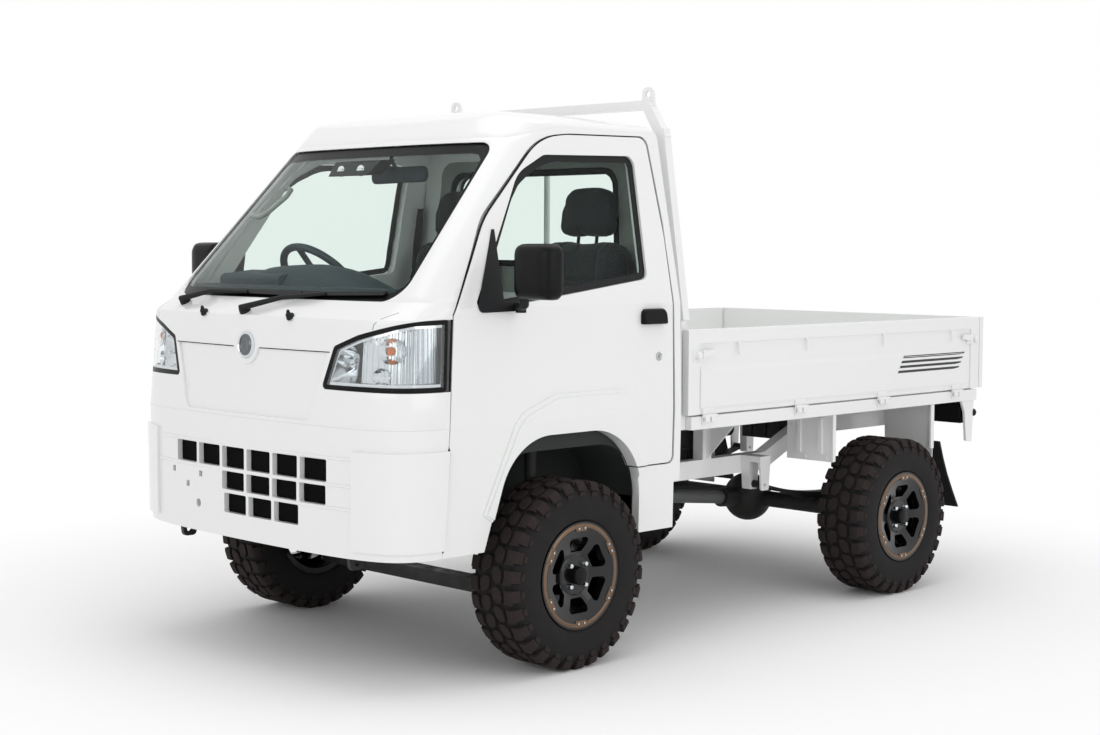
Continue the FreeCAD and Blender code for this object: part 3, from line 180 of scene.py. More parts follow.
def chassis_enamel_and_painted_shade():
    # Satin black brush-on underbody enamel with a film of road dust; on the cross members and the plates
    # under the bed its black is painted shade.
    material, tree, shader = finish("satin_black_enamel_and_painted_shade", "#1c1c1d", 0.5)
    dust = grain(tree, 60.0, 4.0)
    two_tone(tree, shader, dust, "#161617", "#2a2927")
    spread(tree, shader, "Roughness", dust, 0.42, 0.68)
    relief(tree, shader, grain(tree, 3.0), 0.15, 0.5)
    return material


def spring_leaf_steel():
    # Rolled spring steel under thin black paint, dull and slightly brown.
    material, tree, shader = finish("painted_spring_steel", "#262423", 0.55, metallic=0.35)
    relief(tree, shader, grain(tree, 5.0), 0.1, 0.5)
    return material


def aluminised_tube():
    # Aluminised exhaust tube: grey metal, dull and mottled by heat.
    material, tree, shader = finish("aluminised_tube", "#7d7973", 0.45, metallic=0.85)
    spread(tree, shader, "Roughness", grain(tree, 40.0, 5.0), 0.35, 0.65)
    return material


def sand_cast(name, colour, metallic):
    # Sand-cast metal: a matt, finely pitted skin.
    material, tree, shader = finish(name, colour, 0.6, metallic=metallic)
    relief(tree, shader, grain(tree, 2.5, 3.0), 0.3, 0.6)
    return material


def screen_glass():
    # Clear safety glass: thin, smooth and barely green. Its IOR is lowered to the faint
    # reflection that the real panes show.
    material, tree, shader = finish("clear_safety_glass", "#f0f7f4", 0.0, ior=1.12, transmission_weight=1.0)
    clear_to_light(tree, shader, "#eef6f2")
    return material


def lamp_plastic(name, colour):
    # Moulded clear or coloured polycarbonate lens, glossier and denser than glass.
    material, tree, shader = finish(name, colour, 0.02, ior=1.58, transmission_weight=1.0)
    clear_to_light(tree, shader, colour)
    return material


def vacuum_chrome():
    # Aluminium film on a moulded reflector: a bright mirror.
    return finish("vacuum_chrome", "#d2d6d9", 0.08, metallic=1.0)[0]


def plated_steel():
    # Zinc or chrome plated fastenings: grey metal with a soft shine.
    return finish("plated_steel", "#b9bbbd", 0.22, metallic=1.0)[0]


def mirror_silver():
    # Float glass silvered behind: flat, and nearly a perfect mirror.
    return finish("silvered_mirror_glass", "#dfe3e4", 0.01, metallic=1.0)[0]


def dark_chrome():
    # Dark chrome plate on a moulded badge: a smoky mirror.
    return finish("dark_chrome_badge", "#6d7072", 0.18, metallic=1.0)[0]


def grained_polypropylene(name, colour, roughness=0.55):
    # Moulded polypropylene with a fine leather grain, drawn at 2.5 mm so that it shows.
    material, tree, shader = finish(name, colour, roughness, specular_ior_level=0.25)
    cells = add_node(tree, "ShaderNodeTexVoronoi", {"Vector": object_place(tree), "Scale": 1.0 / (2.5 * MM)})
    relief(tree, shader, cells.outputs["Distance"], 0.12, 0.5)
    return material


def smooth_black_moulding():
    # Black trim moulding with a smooth semi-gloss skin.
    return finish("black_trim_moulding", "#0b0c0d", 0.32, specular_ior_level=0.15)[0]


def painted_shade_backing():
    # Matt black sheet behind the grille, painted shade that shows as the unlit hollow behind its openings.
    return finish("matt_black_painted_shade", "#060607", 0.9, specular_ior_level=0.1)[0]


def tyre_rubber():
    # Vulcanised natural-black rubber: matt, with a fine moulded texture and dry dust.
    material, tree, shader = finish("vulcanised_rubber", "#1d1c1d", 0.72, specular_ior_level=0.2)
    dust = grain(tree, 45.0, 4.0)
    two_tone(tree, shader, dust, "#191819", "#232021")
    relief(tree, shader, grain(tree, 2.0, 3.0), 0.12, 0.5)
    return material


def tread_rubber():
    # The worn face of the tread, browner than the sidewall.
    material, tree, shader = finish("scuffed_tread_rubber", "#2b2624", 0.82, specular_ior_level=0.2)
    two_tone(tree, shader, grain(tree, 30.0, 4.0), "#262120", "#332c2a")
    relief(tree, shader, grain(tree, 2.5, 3.0), 0.2, 0.6)
    return material


def wheel_enamel():
    # Gloss black powder coat over a cast wheel.
    return finish("gloss_black_powder_coat", "#0b0b0c", 0.2, coat_weight=0.35, coat_roughness=0.03,
                  specular_ior_level=0.3)[0]


def bronze_anodised():
    # Bronze anodised ring, lightly brushed.
    return finish("bronze_anodised_ring", "#75604f", 0.32, metallic=0.9)[0]


def seat_cloth():
    # Woven charcoal seat cloth; threads are drawn at 2.2 mm, about twice their real pitch.
    material, tree, shader = finish("woven_seat_cloth", "#232729", 0.9, sheen_weight=0.12,
                                    sheen_roughness=0.6)
    heights = [threads(tree, 2.2, direction, 0.6) for direction in "XYZ"]
    first = add_node(tree, "ShaderNodeMath", {0: heights[0], 1: heights[1]}, operation="ADD")
    total = add_node(tree, "ShaderNodeMath", {0: first.outputs[0], 1: heights[2]}, operation="ADD")
    relief(tree, shader, total.outputs[0], 0.25, 0.5)
    two_tone(tree, shader, grain(tree, 6.0), "#1d2123", "#2a2e31")
    return material


def belt_webbing():
    # Woven polyester webbing, with ribs about 1.6 mm apart.
    material, tree, shader = finish("polyester_webbing", "#1b1c1e", 0.75, sheen_weight=0.2)
    relief(tree, shader, threads(tree, 1.6, "Z"), 0.2, 0.5)
    return material


def vinyl_film():
    # Cut black vinyl film, smooth and semi-gloss.
    return finish("cut_vinyl_film", "#161718", 0.35)[0]


def build_materials(looks):
    """Every finish of the truck, by a short name."""
    return {
        "paint": baked_enamel(looks.paint_colour),
        "chassis": chassis_enamel_and_painted_shade(),
        "spring": spring_leaf_steel(),
        "exhaust": aluminised_tube(),
        "iron": sand_cast("cast_iron_skin", "#2b2a29", 0.4),
        "alloy": sand_cast("cast_aluminium_skin", "#8b8c8d", 0.75),
        "glass": screen_glass(),
        "lens": lamp_plastic("clear_polycarbonate_lens", "#fbfdfd"),
        "red_lens": lamp_plastic("red_acrylic_lens", "#c31a17"),
        "amber_lens": lamp_plastic("amber_acrylic_lens", "#ee7a10"),
        "clear_lens": lamp_plastic("clear_lens_segment", "#f4f4f2"),
        "chrome": vacuum_chrome(),
        "plated": plated_steel(),
        "mirror": mirror_silver(),
        "badge": dark_chrome(),
        "trim": grained_polypropylene("black_grained_polypropylene", "#17181a"),
        "dash": grained_polypropylene("blue_grey_dash_moulding", looks.dash_colour, 0.6),
        "liner": grained_polypropylene("pale_grey_cab_liner", "#8d928d", 0.7),
        "arch": grained_polypropylene("moulded_arch_liner", "#343836", 0.75),
        "mat": grained_polypropylene("moulded_floor_mat", "#2a2c2c", 0.8),
        "gloss_trim": smooth_black_moulding(),
        "void": painted_shade_backing(),
        "rubber": tyre_rubber(),
        "tread": tread_rubber(),
        "wheel": wheel_enamel(),
        "bronze": bronze_anodised(),
        "cloth": seat_cloth(),
        "belt": belt_webbing(),
        "decal": vinyl_film(),
    }


# Forms: points and faces gathered in millimetres

def spot(plane, a, b, c):
    """A point given in a plane and its distance along the plane's own axis."""
    return {"YZ": (c, a, b), "XZ": (a, c, b), "XY": (a, b, c)}[plane]


def rounded(corners, step=15.0):
    """Points along an outline of (a, b, radius) corners, with an arc in each corner."""
    points = []
    count = len(corners)
    for index in range(count):
        a, b, radius = corners[index]
        before, after = corners[index - 1], corners[(index + 1) % count]
        u = Vector((before[0] - a, before[1] - b)).normalized()
        v = Vector((after[0] - a, after[1] - b)).normalized()
        if radius <= 0:
            points.append((a, b))
            continue
        half = u.angle(v) / 2
        centre = Vector((a, b)) + (u + v).normalized() * (radius / math.sin(half))
        first = Vector((a, b)) + u * (radius / math.tan(half)) - centre
        last = Vector((a, b)) + v * (radius / math.tan(half)) - centre
        turn = first.angle_signed(last)
        steps = max(2, int(abs(math.degrees(turn)) / step))
        for k in range(steps + 1):
            spoke = first.copy()
            spoke.rotate(Matrix.Rotation(-turn * k / steps, 2))
            points.append(tuple(centre + spoke))
    return points


def grown(points, distance):
    """The outline moved outwards by a distance, corner by corner."""
    count = len(points)
    area = sum(points[i - 1][0] * points[i][1] - points[i][0] * points[i - 1][1] for i in range(count))
    sign = 1.0 if area > 0 else -1.0
    result = []
    for index in range(count):
        here = Vector(points[index])
        u = (here - Vector(points[index - 1])).normalized()
        v = (Vector(points[(index + 1) % count]) - here).normalized()
        normal_in, normal_out = Vector((u.y, -u.x)) * sign, Vector((v.y, -v.x)) * sign
        middle = (normal_in + normal_out).normalized()
        scale = distance / max(0.4, middle.dot(normal_out))
        result.append(tuple(here + middle * scale))
    return result


def evened(points, count, closed=True):
    """The same outline, or the same open line, as a given number of evenly spaced points."""
    line = [Vector(p) for p in points] + ([Vector(points[0])] if closed else [])
    lengths = [0.0]
    for a, b in zip(line, line[1:]):
        lengths.append(lengths[-1] + (b - a).length)
    result, segment = [], 0
    for k in range(count):
        target = lengths[-1] * k / (count if closed else count - 1)
        while segment < len(line) - 2 and lengths[segment + 1] < target:
            segment += 1
        part = (target - lengths[segment]) / max(1e-9, lengths[segment + 1] - lengths[segment])
        result.append(tuple(line[segment].lerp(line[segment + 1], min(1.0, part))))
    return result


class Form:
    """Points and faces of one piece."""

    def __init__(self):
        self.points = []
        self.faces = []

    def add(self, points, faces):
        """Adds points, and faces that number them from 0."""
        start = len(self.points)
        self.points.extend(tuple(p) for p in points)
        self.faces.extend(tuple(start + i for i in face) for face in faces)
        return self

    def skin(self, rows, around=True, along=False, caps=True):
        """Faces between rows of points; each row may close on itself, and the last on the first."""
        size, count = len(rows[0]), len(rows)
        faces = []
        for r in range(count if along else count - 1):
            for k in range(size if around else size - 1):
                nxt, up = (k + 1) % size, (r + 1) % count
                faces.append((r * size + k, r * size + nxt, up * size + nxt, up * size + k))
        if caps and around and not along:
            faces.append(tuple(range(size)))
            faces.append(tuple((count - 1) * size + k for k in range(size)))
        return self.add([p for row in rows for p in row], faces)

    def prism(self, outline, plane, low, high):
        """An outline in a plane, drawn out between two distances along the plane's axis."""
        return self.skin([[spot(plane, a, b, c) for a, b in outline] for c in (low, high)])

    def box(self, x, y, z):
        """A block between two places on each axis."""
        return self.prism([(x[0], y[0]), (x[1], y[0]), (x[1], y[1]), (x[0], y[1])], "XY", z[0], z[1])

    def tube(self, path, radius, sides=12, caps=True, closed=False):
        """A round bar along a path; the radius may be one number or one for each point."""
        points = [Vector(p) for p in path]
        count = len(points)
        radii = radius if isinstance(radius, (list, tuple)) else [radius] * count
        rows, normal = [], None
        for index, point in enumerate(points):
            before = points[index - 1] if index or closed else point
            after = points[(index + 1) % count] if index < count - 1 or closed else point
            way = (after - before).normalized()
            if normal is None:
                normal = way.orthogonal().normalized()
            normal = (normal - way * normal.dot(way)).normalized()
            side = way.cross(normal)
            rows.append([point + (normal * math.cos(a) + side * math.sin(a)) * radii[index]
                         for a in (2 * math.pi * k / sides for k in range(sides))])
        return self.skin(rows, True, closed, caps and not closed)

    def turned(self, profile, centre, axis, steps=48, closed=False):
        """A profile of (distance along the axis, radius) turned round the axis."""
        axis = Vector(axis).normalized()
        side = axis.orthogonal().normalized()
        other = axis.cross(side)
        centre = Vector(centre)
        rows = []
        for k in range(steps):
            angle = 2 * math.pi * k / steps
            way = side * math.cos(angle) + other * math.sin(angle)
            rows.append([centre + axis * offset + way * radius for offset, radius in profile])
        size = len(profile)
        faces = []
        for k in range(steps):
            for index in range(size if closed else size - 1):
                nxt, turn = (index + 1) % size, (k + 1) % steps
                faces.append((k * size + index, k * size + nxt, turn * size + nxt, turn * size + index))
        return self.add([p for row in rows for p in row], faces)

    def moved(self, matrix):
        """A copy of the form turned or mirrored by a matrix."""
        result = Form()
        result.add([matrix @ Vector(p) for p in self.points], self.faces)
        return result

    def join(self, other):
        """Adds another form to this one."""
        return self.add(other.points, other.faces)


MIRROR = Matrix.Diagonal((1, -1, 1, 1))


def mesh_of(name, form):
    """A form as a mesh, welded, without empty faces and with its faces outwards."""
    mesh = bpy.data.meshes.new(name)
    mesh.from_pydata([Vector(p) * MM for p in form.points], [], form.faces)
    work = bmesh.new()
    work.from_mesh(mesh)
    bmesh.ops.remove_doubles(work, verts=work.verts, dist=1e-6)
    empty = [face for face in work.faces if face.calc_area() < 1e-12]
    bmesh.ops.delete(work, geom=empty, context="FACES_ONLY")
    bmesh.ops.recalc_face_normals(work, faces=work.faces)
    work.to_mesh(mesh)
    work.free()
    return mesh


def add_rounding(item, width, angle):
    """A live modifier that rounds the edges sharper than an angle in degrees."""
    edge = item.modifiers.new("edge", "BEVEL")
    edge.width = width * MM
    edge.segments = 2
    edge.limit_method = "ANGLE"
    edge.angle_limit = math.radians(angle)


# Edges sharper than this, in degrees, are shaded as edges.
SHARP = 32.0


def piece(name, form, material, body, bevel=0.0, sharp=SHARP):
    """An object made from a form or a mesh, on its body, in the finish of a short name."""
    mesh = mesh_of(name, form) if isinstance(form, Form) else form
    mesh.materials.clear()
    mesh.materials.append(materials[material])
    mesh.polygons.foreach_set("use_smooth", [True] * len(mesh.polygons))
    mesh.set_sharp_from_angle(angle=math.radians(sharp))
    item = on_its_own(mesh, name)
    if bevel:
        add_rounding(item, bevel, sharp)
    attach(item, body)
    return item


def on_its_own(mesh, name):
    """A plain object of a mesh, in the scene."""
    item = bpy.data.objects.new(name, mesh)
    bpy.context.scene.collection.objects.link(item)
    return item


def taken_from(item, name):
    """The mesh that an object's modifiers make; the object and the modifiers go."""
    bpy.context.view_layer.update()
    graph = bpy.context.evaluated_depsgraph_get()
    mesh = bpy.data.meshes.new_from_object(item.evaluated_get(graph))
    mesh.name = name
    bpy.data.objects.remove(item)
    return mesh


# Lines that look for the truck's outside start this far out: beside it, before it and round its corner.
BESIDE, BEFORE, AROUND = 1500.0, 2500.0, 900.0
# From this far off the middle, a place on the lamps is a turn round an upright axis at the door.
CORNER_FROM = 600.0
CORNER_SPAN = 264.0
CORNER_AXIS = 1434.0


class Skin:
    """The outside of some frame nodes, onto which thin pieces are laid."""

    def __init__(self, *nodes):
        points, faces = [], []
        for node in nodes:
            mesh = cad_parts[node].data
            start = len(points)
            points.extend(v.co / MM for v in mesh.vertices)
            faces.extend([start + i for i in face.vertices] for face in mesh.polygons)
        self.tree = BVHTree.FromPolygons(points, faces)

    def met(self, start, way):
        """The first point of the outside on a line."""
        hit = self.tree.ray_cast(start, way)[0]
        if hit is None:
            raise RuntimeError("no surface on the line from X %.0f Y %.0f Z %.0f" % tuple(start))
        return hit

    def side(self, x, z, sign=1, lift=0.0):
        """The point on the outside at this place, seen from one side of the truck."""
        hit = self.met(Vector((x, sign * BESIDE, z)), Vector((0, -sign, 0)))
        return (x, hit.y + sign * lift, z)

    def front(self, y, z, lift=0.0):
        """The point on the outside at this place, seen from in front."""
        hit = self.met(Vector((BEFORE, y, z)), Vector((-1, 0, 0)))
        return (hit.x + lift, y, z)

    def wrapped(self, a, z, sign=1, lift=0.0):
        """Seen from in front up to the corner, and past it from round an upright axis at the door."""
        if a <= CORNER_FROM:
            return self.front(sign * a, z, lift)
        turn = math.radians(90.0 * (a - CORNER_FROM) / CORNER_SPAN)
        way = Vector((math.cos(turn), sign * math.sin(turn), 0))
        hit = self.met(Vector((CORNER_AXIS, sign * CORNER_FROM, z)) + way * AROUND, -way)
        return tuple(hit + way * lift)


def laid_band(outer, inner, at, thick, lift):
    """A closed strip between two outlines, laid on a surface that the function at finds."""
    rows = [[at(a, b, lift) for a, b in outer], [at(a, b, lift) for a, b in inner],
            [at(a, b, lift - thick) for a, b in inner], [at(a, b, lift - thick) for a, b in outer]]
    return Form().skin(rows, True, True, False)


def span_at(outline, a):
    """The lowest and the highest point of a closed outline at one place across it."""
    hits = []
    for (a0, b0), (a1, b1) in zip(outline, outline[1:] + outline[:1]):
        if a0 != a1 and (a0 - a) * (a1 - a) <= 0:
            hits.append(b0 + (b1 - b0) * (a - a0) / (a1 - a0))
    return min(hits), max(hits)


def laid_sheet(outline, at, lift, thick, columns=24, rows=10, wave=None):
    """A sheet within an outline, laid on a surface; wave gives a further lift at each place."""
    first, last = min(p[0] for p in outline) + 0.4, max(p[0] for p in outline) - 0.4
    loops = []
    for k in range(columns + 1):
        a = first + (last - first) * k / columns
        low, high = span_at(outline, a)
        heights = [low + (high - low) * r / rows for r in range(rows + 1)]
        extra = lift + (wave(a) if wave else 0.0)
        loops.append([at(a, b, extra) for b in heights]
                     + [at(a, b, extra - thick) for b in reversed(heights)])
    return Form().skin(loops)


# A strip that follows a surface finds it anew at this distance.
STRIP_STEP = 12.0


def laid_line(points, at, width, thick, lift):
    """A flat strip of even width that follows a line of (a, b) points over a surface."""
    path = []
    for (a0, b0), (a1, b1) in zip(points, points[1:]):
        steps = max(1, int(math.hypot(a1 - a0, b1 - b0) / STRIP_STEP))
        path += [(a0 + (a1 - a0) * k / steps, b0 + (b1 - b0) * k / steps) for k in range(steps)]
    path.append(points[-1])
    rows = []
    for index, here in enumerate(path):
        before, after = path[max(0, index - 1)], path[min(len(path) - 1, index + 1)]
        run = Vector((after[0] - before[0], after[1] - before[1])).normalized() * width / 2
        left, right = (here[0] - run.y, here[1] + run.x), (here[0] + run.y, here[1] - run.x)
        rows.append([at(*left, lift), at(*right, lift), at(*right, lift - thick), at(*left, lift - thick)])
    return Form().skin(rows)


materials = {}


def dress(node, material):
    """Gives a frame node the finish of a short name."""
    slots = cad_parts[node].data.materials
    slots.clear()
    slots.append(materials[material])


def round_edges(node, width, angle=38.0):
    """Rounds a frame node's edges a little, so that they catch the light."""
    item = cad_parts[node]
    weld = item.modifiers.new("weld", "WELD")
    weld.merge_threshold = 0.02 * MM
    add_rounding(item, width, angle)


# Wheels and tyres

def tyre_carcass():
    """The sidewalls and the band under the tread, turned round the Y axis at the origin."""
    half = [(98, 183), (105, 190), (108, 204), (110, 222), (109.8, 246), (107, 268), (101, 287),
            (90, 300), (72, 305.5), (36, 307), (0, 307)]
    profile = [(-a, r) for a, r in half] + [(a, r) for a, r in reversed(half[:-1])]
    return Form().turned(profile + [(96, 183), (-96, 183)], (0, 0, 0), (0, 1, 0), 96, True)


def arc_block(section, start, end, steps=3):
    """A block of the tread: a section of (offset, radius) swept between two angles in degrees."""
    rows = []
    for k in range(steps + 1):
        angle = math.radians(start + (end - start) * k / steps)
        rows.append([(r * math.sin(angle), y, r * math.cos(angle)) for y, r in section])
    return Form().skin(rows)


def round_array(name, form, count, material):
    """Copies of a form set evenly round the Y axis by a node tree, as one plain mesh."""
    source = on_its_own(mesh_of(name + "_one", form), name + "_one")
    tree = bpy.data.node_groups.new(name, "GeometryNodeTree")
    tree.interface.new_socket("Geometry", in_out="INPUT", socket_type="NodeSocketGeometry")
    copies_wanted = tree.interface.new_socket("Count", in_out="INPUT", socket_type="NodeSocketInt")
    tree.interface.new_socket("Geometry", in_out="OUTPUT", socket_type="NodeSocketGeometry")
    given = add_node(tree, "NodeGroupInput")
    line = add_node(tree, "GeometryNodeMeshLine", {"Count": given.outputs["Count"], "Offset": (0, 0, 0)})
    index = add_node(tree, "GeometryNodeInputIndex")
    share = add_node(tree, "ShaderNodeMath", {0: index.outputs[0], 1: given.outputs["Count"]},
                     operation="DIVIDE")
    angle = add_node(tree, "ShaderNodeMath", {0: share.outputs[0], 1: 2 * math.pi}, operation="MULTIPLY")
    turn = add_node(tree, "ShaderNodeCombineXYZ", {"Y": angle.outputs[0]})
    copies = add_node(tree, "GeometryNodeInstanceOnPoints", {
        "Points": line.outputs[0], "Instance": given.outputs["Geometry"], "Rotation": turn.outputs[0]})
    real = add_node(tree, "GeometryNodeRealizeInstances", {0: copies.outputs[0]})
    dressed = add_node(tree, "GeometryNodeSetMaterial", {"Geometry": real.outputs[0], "Material": material})
    add_node(tree, "NodeGroupOutput", {"Geometry": dressed.outputs[0]})
    modifier = source.modifiers.new(name, "NODES")
    modifier.node_group = tree
    modifier[copies_wanted.identifier] = count
    source.update_tag()
    return taken_from(source, name)


TREAD_COUNT = 30
TREAD_PITCH = 360.0 / TREAD_COUNT
TREAD_OUT = 109.9


def tread_blocks():
    """One pitch of every kind of tread block: shoulder lugs, sidewall teeth and middle blocks."""
    pitch = TREAD_PITCH
    wide, narrow = 0.60 * pitch, 0.42 * pitch
    lug = [(62, 304), (62, 317.4), (88, 317.2), (97, 314.5), (103.5, 306), (TREAD_OUT, 291), (TREAD_OUT, 286),
           (101, 283)]
    step = [(58, 304), (58, 316.6), (80, 317.0), (92, 316), (92, 303)]
    foot = [(104, 276), (TREAD_OUT, 284), (TREAD_OUT, 266), (105, 266)]
    shapes = Form()
    shapes.join(arc_block(lug, -wide / 2, wide / 2))
    shapes.join(arc_block(step, wide / 2 - 0.2, wide / 2 + 1.6, 1))
    shapes.join(arc_block(foot, -narrow / 2, narrow / 2, 2))
    mirrored = shapes.moved(MIRROR).moved(Matrix.Rotation(math.radians(pitch / 2), 4, "Y"))
    middle = Form()
    for y, lean, phase in ((27, 1, 0.0), (-27, -1, pitch / 2)):
        outline = [(-19, -0.30), (0, -0.44), (19, -0.30), (22, 0.0), (17, 0.32), (0, 0.42), (-17, 0.32),
                   (-22, 0.0)]
        rows = []
        for radius in (304.0, 317.3):
            rows.append([])
            for across, along in outline:
                angle = math.radians(phase + pitch * along + lean * across * 0.05)
                rows[-1].append((radius * math.sin(angle), y + across, radius * math.cos(angle)))
        middle.skin(rows)
    return shapes, mirrored, middle


def placed(mesh, name, x, side):
    """A copy of a mesh made round the origin, set at one wheel with its outside outwards."""
    copy = mesh.copy()
    copy.name = name
    turn = Matrix.Rotation(0.0 if side > 0 else math.pi, 4, "Z")
    copy.transform(Matrix.Translation(Vector((x, side * WHEEL_Y, WHEEL_Z)) * MM) @ turn)
    return copy


def merged(name, meshes):
    """Several meshes as one."""
    work = bmesh.new()
    for mesh in meshes:
        work.from_mesh(mesh)
    result = bpy.data.meshes.new(name)
    work.to_mesh(result)
    work.free()
    return result


def wheel_places():
    """The label, the axle's place and the side of each wheel."""
    for end, x in AXLES:
        for name, side in SIDES:
            yield "%s_%s" % (end, name), x, side


def make_tyres():
    """Sidewalls and tread of each tyre, in place of the plain tyre."""
    carcass = mesh_of("carcass", tyre_carcass())
    rings = [round_array("tread_%d" % k, form, TREAD_COUNT, materials["tread"])
             for k, form in enumerate(tread_blocks())]
    tread = merged("tread", rings)
    for label, x, side in wheel_places():
        body = "wheel_" + label
        wall = piece("tyre_wall_" + label, placed(carcass, "tyre_wall_" + label, x, side), "rubber", body)
        piece("tread_" + label, placed(tread, "tread_" + label, x, side), "tread", body,
              bevel=1.2, sharp=28)
        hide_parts("tyre_" + label)


PADS = 6
NUTS = 4
NUT_CIRCLE = 50.0


def make_wheel_fittings():
    """Bronze ring, its bolts, wheel nuts and the plain centre cap of each wheel."""
    hub, along = (0, 0, 0), (0, 1, 0)
    ring = Form().turned([(103.5, 160), (106.5, 163), (106.5, 171), (103.5, 176), (100, 176), (100, 160)],
                         hub, along, 96, True)
    pads, bolts = Form(), Form()
    for k in range(PADS):
        turn = Matrix.Rotation(math.radians(360 / PADS * k), 4, "Y")
        pads.join(Form().prism([(-24, 150), (24, 150), (30, 172), (-30, 172)], "XZ", 100, 107).moved(turn))
        for offset in (-14, 14):
            bolt = Form().turned([(106, 0), (106, 4.6), (110, 4.2), (111, 3.0), (111, 0)], (offset, 0, 160),
                                 along, 12)
            bolts.join(bolt.moved(turn))
    nuts = Form()
    for k in range(NUTS):
        angle = 2 * math.pi * (k + 0.5) / NUTS
        place = (NUT_CIRCLE * math.sin(angle), 0, NUT_CIRCLE * math.cos(angle))
        nuts.join(Form().turned([(70, 0), (70, 10.5), (92, 10.5), (98, 7.5), (99.5, 0)], place, along, 6))
    cap = Form().turned([(70, 0), (70, 31), (101, 31), (106, 29), (108, 24), (108.8, 0)], hub, along, 40)
    fittings = (("wheel_ring_", ring, "bronze", 0.8), ("ring_pads_", pads, "bronze", 1.0),
                ("ring_bolts_", bolts, "plated", 0.0), ("wheel_nuts_", nuts, "chrome", 0.8),
                ("centre_cap_", cap, "gloss_trim", 0.6))
    for label, x, side in wheel_places():
        for kind, form, material, bevel in fittings:
            name = kind + label
            piece(name, placed(mesh_of(name, form), name, x, side), material, "wheel_" + label, bevel=bevel)


# Glass, lamps and front

SCREEN = [(-616, 1235, 60), (616, 1235, 60), (548, 1756, 50), (-548, 1756, 50)]
WINDOW = [(486, 1300, 26), (470, 1730, 34), (918, 1718, 60), (1048, 1654, 150), (1320, 1219, 14),
          (1278, 1205, 30)]
LAMP = [(397, 958, 14), (846, 957, 4), (860, 1182, 6), (720, 1178, 0), (660, 1166, 0), (600, 1148, 0),
        (545, 1133, 30), (446, 1095, 16)]
WINDOW_INSIDE = WINDOW[:2] + [(900, 1719, 200), (1072, 1640, 240)] + WINDOW[4:]
SCREEN_BORDER = [(-600, 1262, 40), (600, 1262, 40), (536, 1718, 40), (-536, 1718, 40)]
REAR_WINDOW = [(-452, 1345, 60), (452, 1345, 60), (440, 1690, 60), (-440, 1690, 60)]
CAB_BACK_OUTSIDE, CAB_BACK_INSIDE = 319.5, 359.5
CAB_BACK_LINING = [(-575, 1235, 40), (575, 1235, 40), (500, 1742, 60), (-500, 1742, 60)]
DOOR_FRONT, DOOR_REAR, DOOR_TOP, DOOR_LOW, DOOR_SILL = 1458.0, 374.0, 1790.0, 430.0, 648.0


def make_rear_window_trim():
    """Rubber round the rear window, inside and outside, and the pale lining round it in the cab."""
    hole = rounded(REAR_WINDOW)
    for name, x in (("outside", CAB_BACK_OUTSIDE), ("inside", CAB_BACK_INSIDE)):
        outer, inner = evened(grown(hole, 12.0), 96), evened(grown(hole, -12.0), 96)
        band = laid_band(outer, inner, lambda a, b, lift: (x + lift, a, b), 8.0, 8.0)
        piece("rear_window_rubber_" + name, band, "trim", "chassis")
    lining = laid_band(evened(rounded(CAB_BACK_LINING), 96), evened(grown(hole, 13.0), 96),
                       lambda a, b, lift: (CAB_BACK_INSIDE + lift, a, b), 5.0, 5.5)
    piece("cab_back_lining", lining, "liner", "chassis")


# A door seal lies this far under the higher of the two edges of its gap, each looked for this
# far beside the seal. Nearer the middle than the last value, an edge is a panel's inner one.
SEAL_SINK, SEAL_REACH, SEAL_INMOST = 7.5, 11.0, 560.0


def make_door_seals():
    """Black rubber in the gap round each door."""
    outline = rounded([(DOOR_FRONT + 2, DOOR_LOW + 8, 0), (DOOR_FRONT - 45, 1192, 0),
                       (DOOR_FRONT - 237, 1501, 300), (DOOR_FRONT - 532, DOOR_TOP - 14, 260),
                       (DOOR_REAR + 420, DOOR_TOP + 2, 300), (DOOR_REAR + 20, DOOR_TOP + 10, 38),
                       (DOOR_REAR - 9, 1445, 0), (DOOR_REAR - 3, DOOR_SILL, 26),
                       (DOOR_REAR + 60, DOOR_SILL - 2, 0)], 20.0)
    count = 130
    line = evened(outline, count, closed=False)
    for name, sign in SIDES:
        skin = Skin("door_" + name, "side_frame_" + name, "front_panel", "front_bumper", "roof_panel",
                    "cab_back_panel", "headlamps")
        path = []
        for k, (x, z) in enumerate(line):
            before, after = line[max(0, k - 1)], line[min(count - 1, k + 1)]
            way = Vector((after[0] - before[0], after[1] - before[1])).normalized()
            found = []
            for step in (-SEAL_REACH, SEAL_REACH):
                try:
                    found.append(abs(skin.side(x - way.y * step, z + way.x * step, sign)[1]))
                except RuntimeError:
                    pass
            if found and max(found) > SEAL_INMOST:
                path.append((x, sign * (max(found) - SEAL_SINK), z))
        piece("door_seal_" + name, Form().tube(path, 4.0, 8), "rubber", "chassis", sharp=70)


def make_glass_trim():
    """Black ceramic border of the windscreen and the rubber round each side window."""
    glass = Skin("cab_glass")
    outer, inner = evened(grown(rounded(SCREEN), -1.5), 120), evened(rounded(SCREEN_BORDER), 120)
    piece("windscreen_border", laid_band(outer, inner, glass.front, 1.2, 0.8), "gloss_trim", "chassis")
    for name, sign in SIDES:
        pane = Skin("door_glass_" + name)
        outer = evened(grown(rounded(WINDOW), -1.0), 120)
        inner = evened(grown(rounded(WINDOW_INSIDE), -24.0), 120)
        band = laid_band(outer, inner, lambda a, b, lift: pane.side(a, b, sign, lift), 4.0, 5.0)
        piece("window_rubber_" + name, band, "trim", "door_" + name)


MAIN_BOWL = [(413, 974, 10), (534, 970, 16), (540, 1116, 36), (457, 1087, 14)]
MAIN_CENTRE = (482.0, 1036.0)
TURN_CENTRE = (640.0, 1084.0)
SIDE_CENTRE = (612.0, 1004.0)


def ring_outline(centre, radius, count=28):
    """A circle as points in the lamp's (a, b) places."""
    turns = [2 * math.pi * k / count for k in range(count)]
    return [(centre[0] + radius * math.cos(t), centre[1] + radius * math.sin(t)) for t in turns]


BOWL_RINGS = 7
BOWL_HOLE = 0.16
BOWL_WALL = 2.0


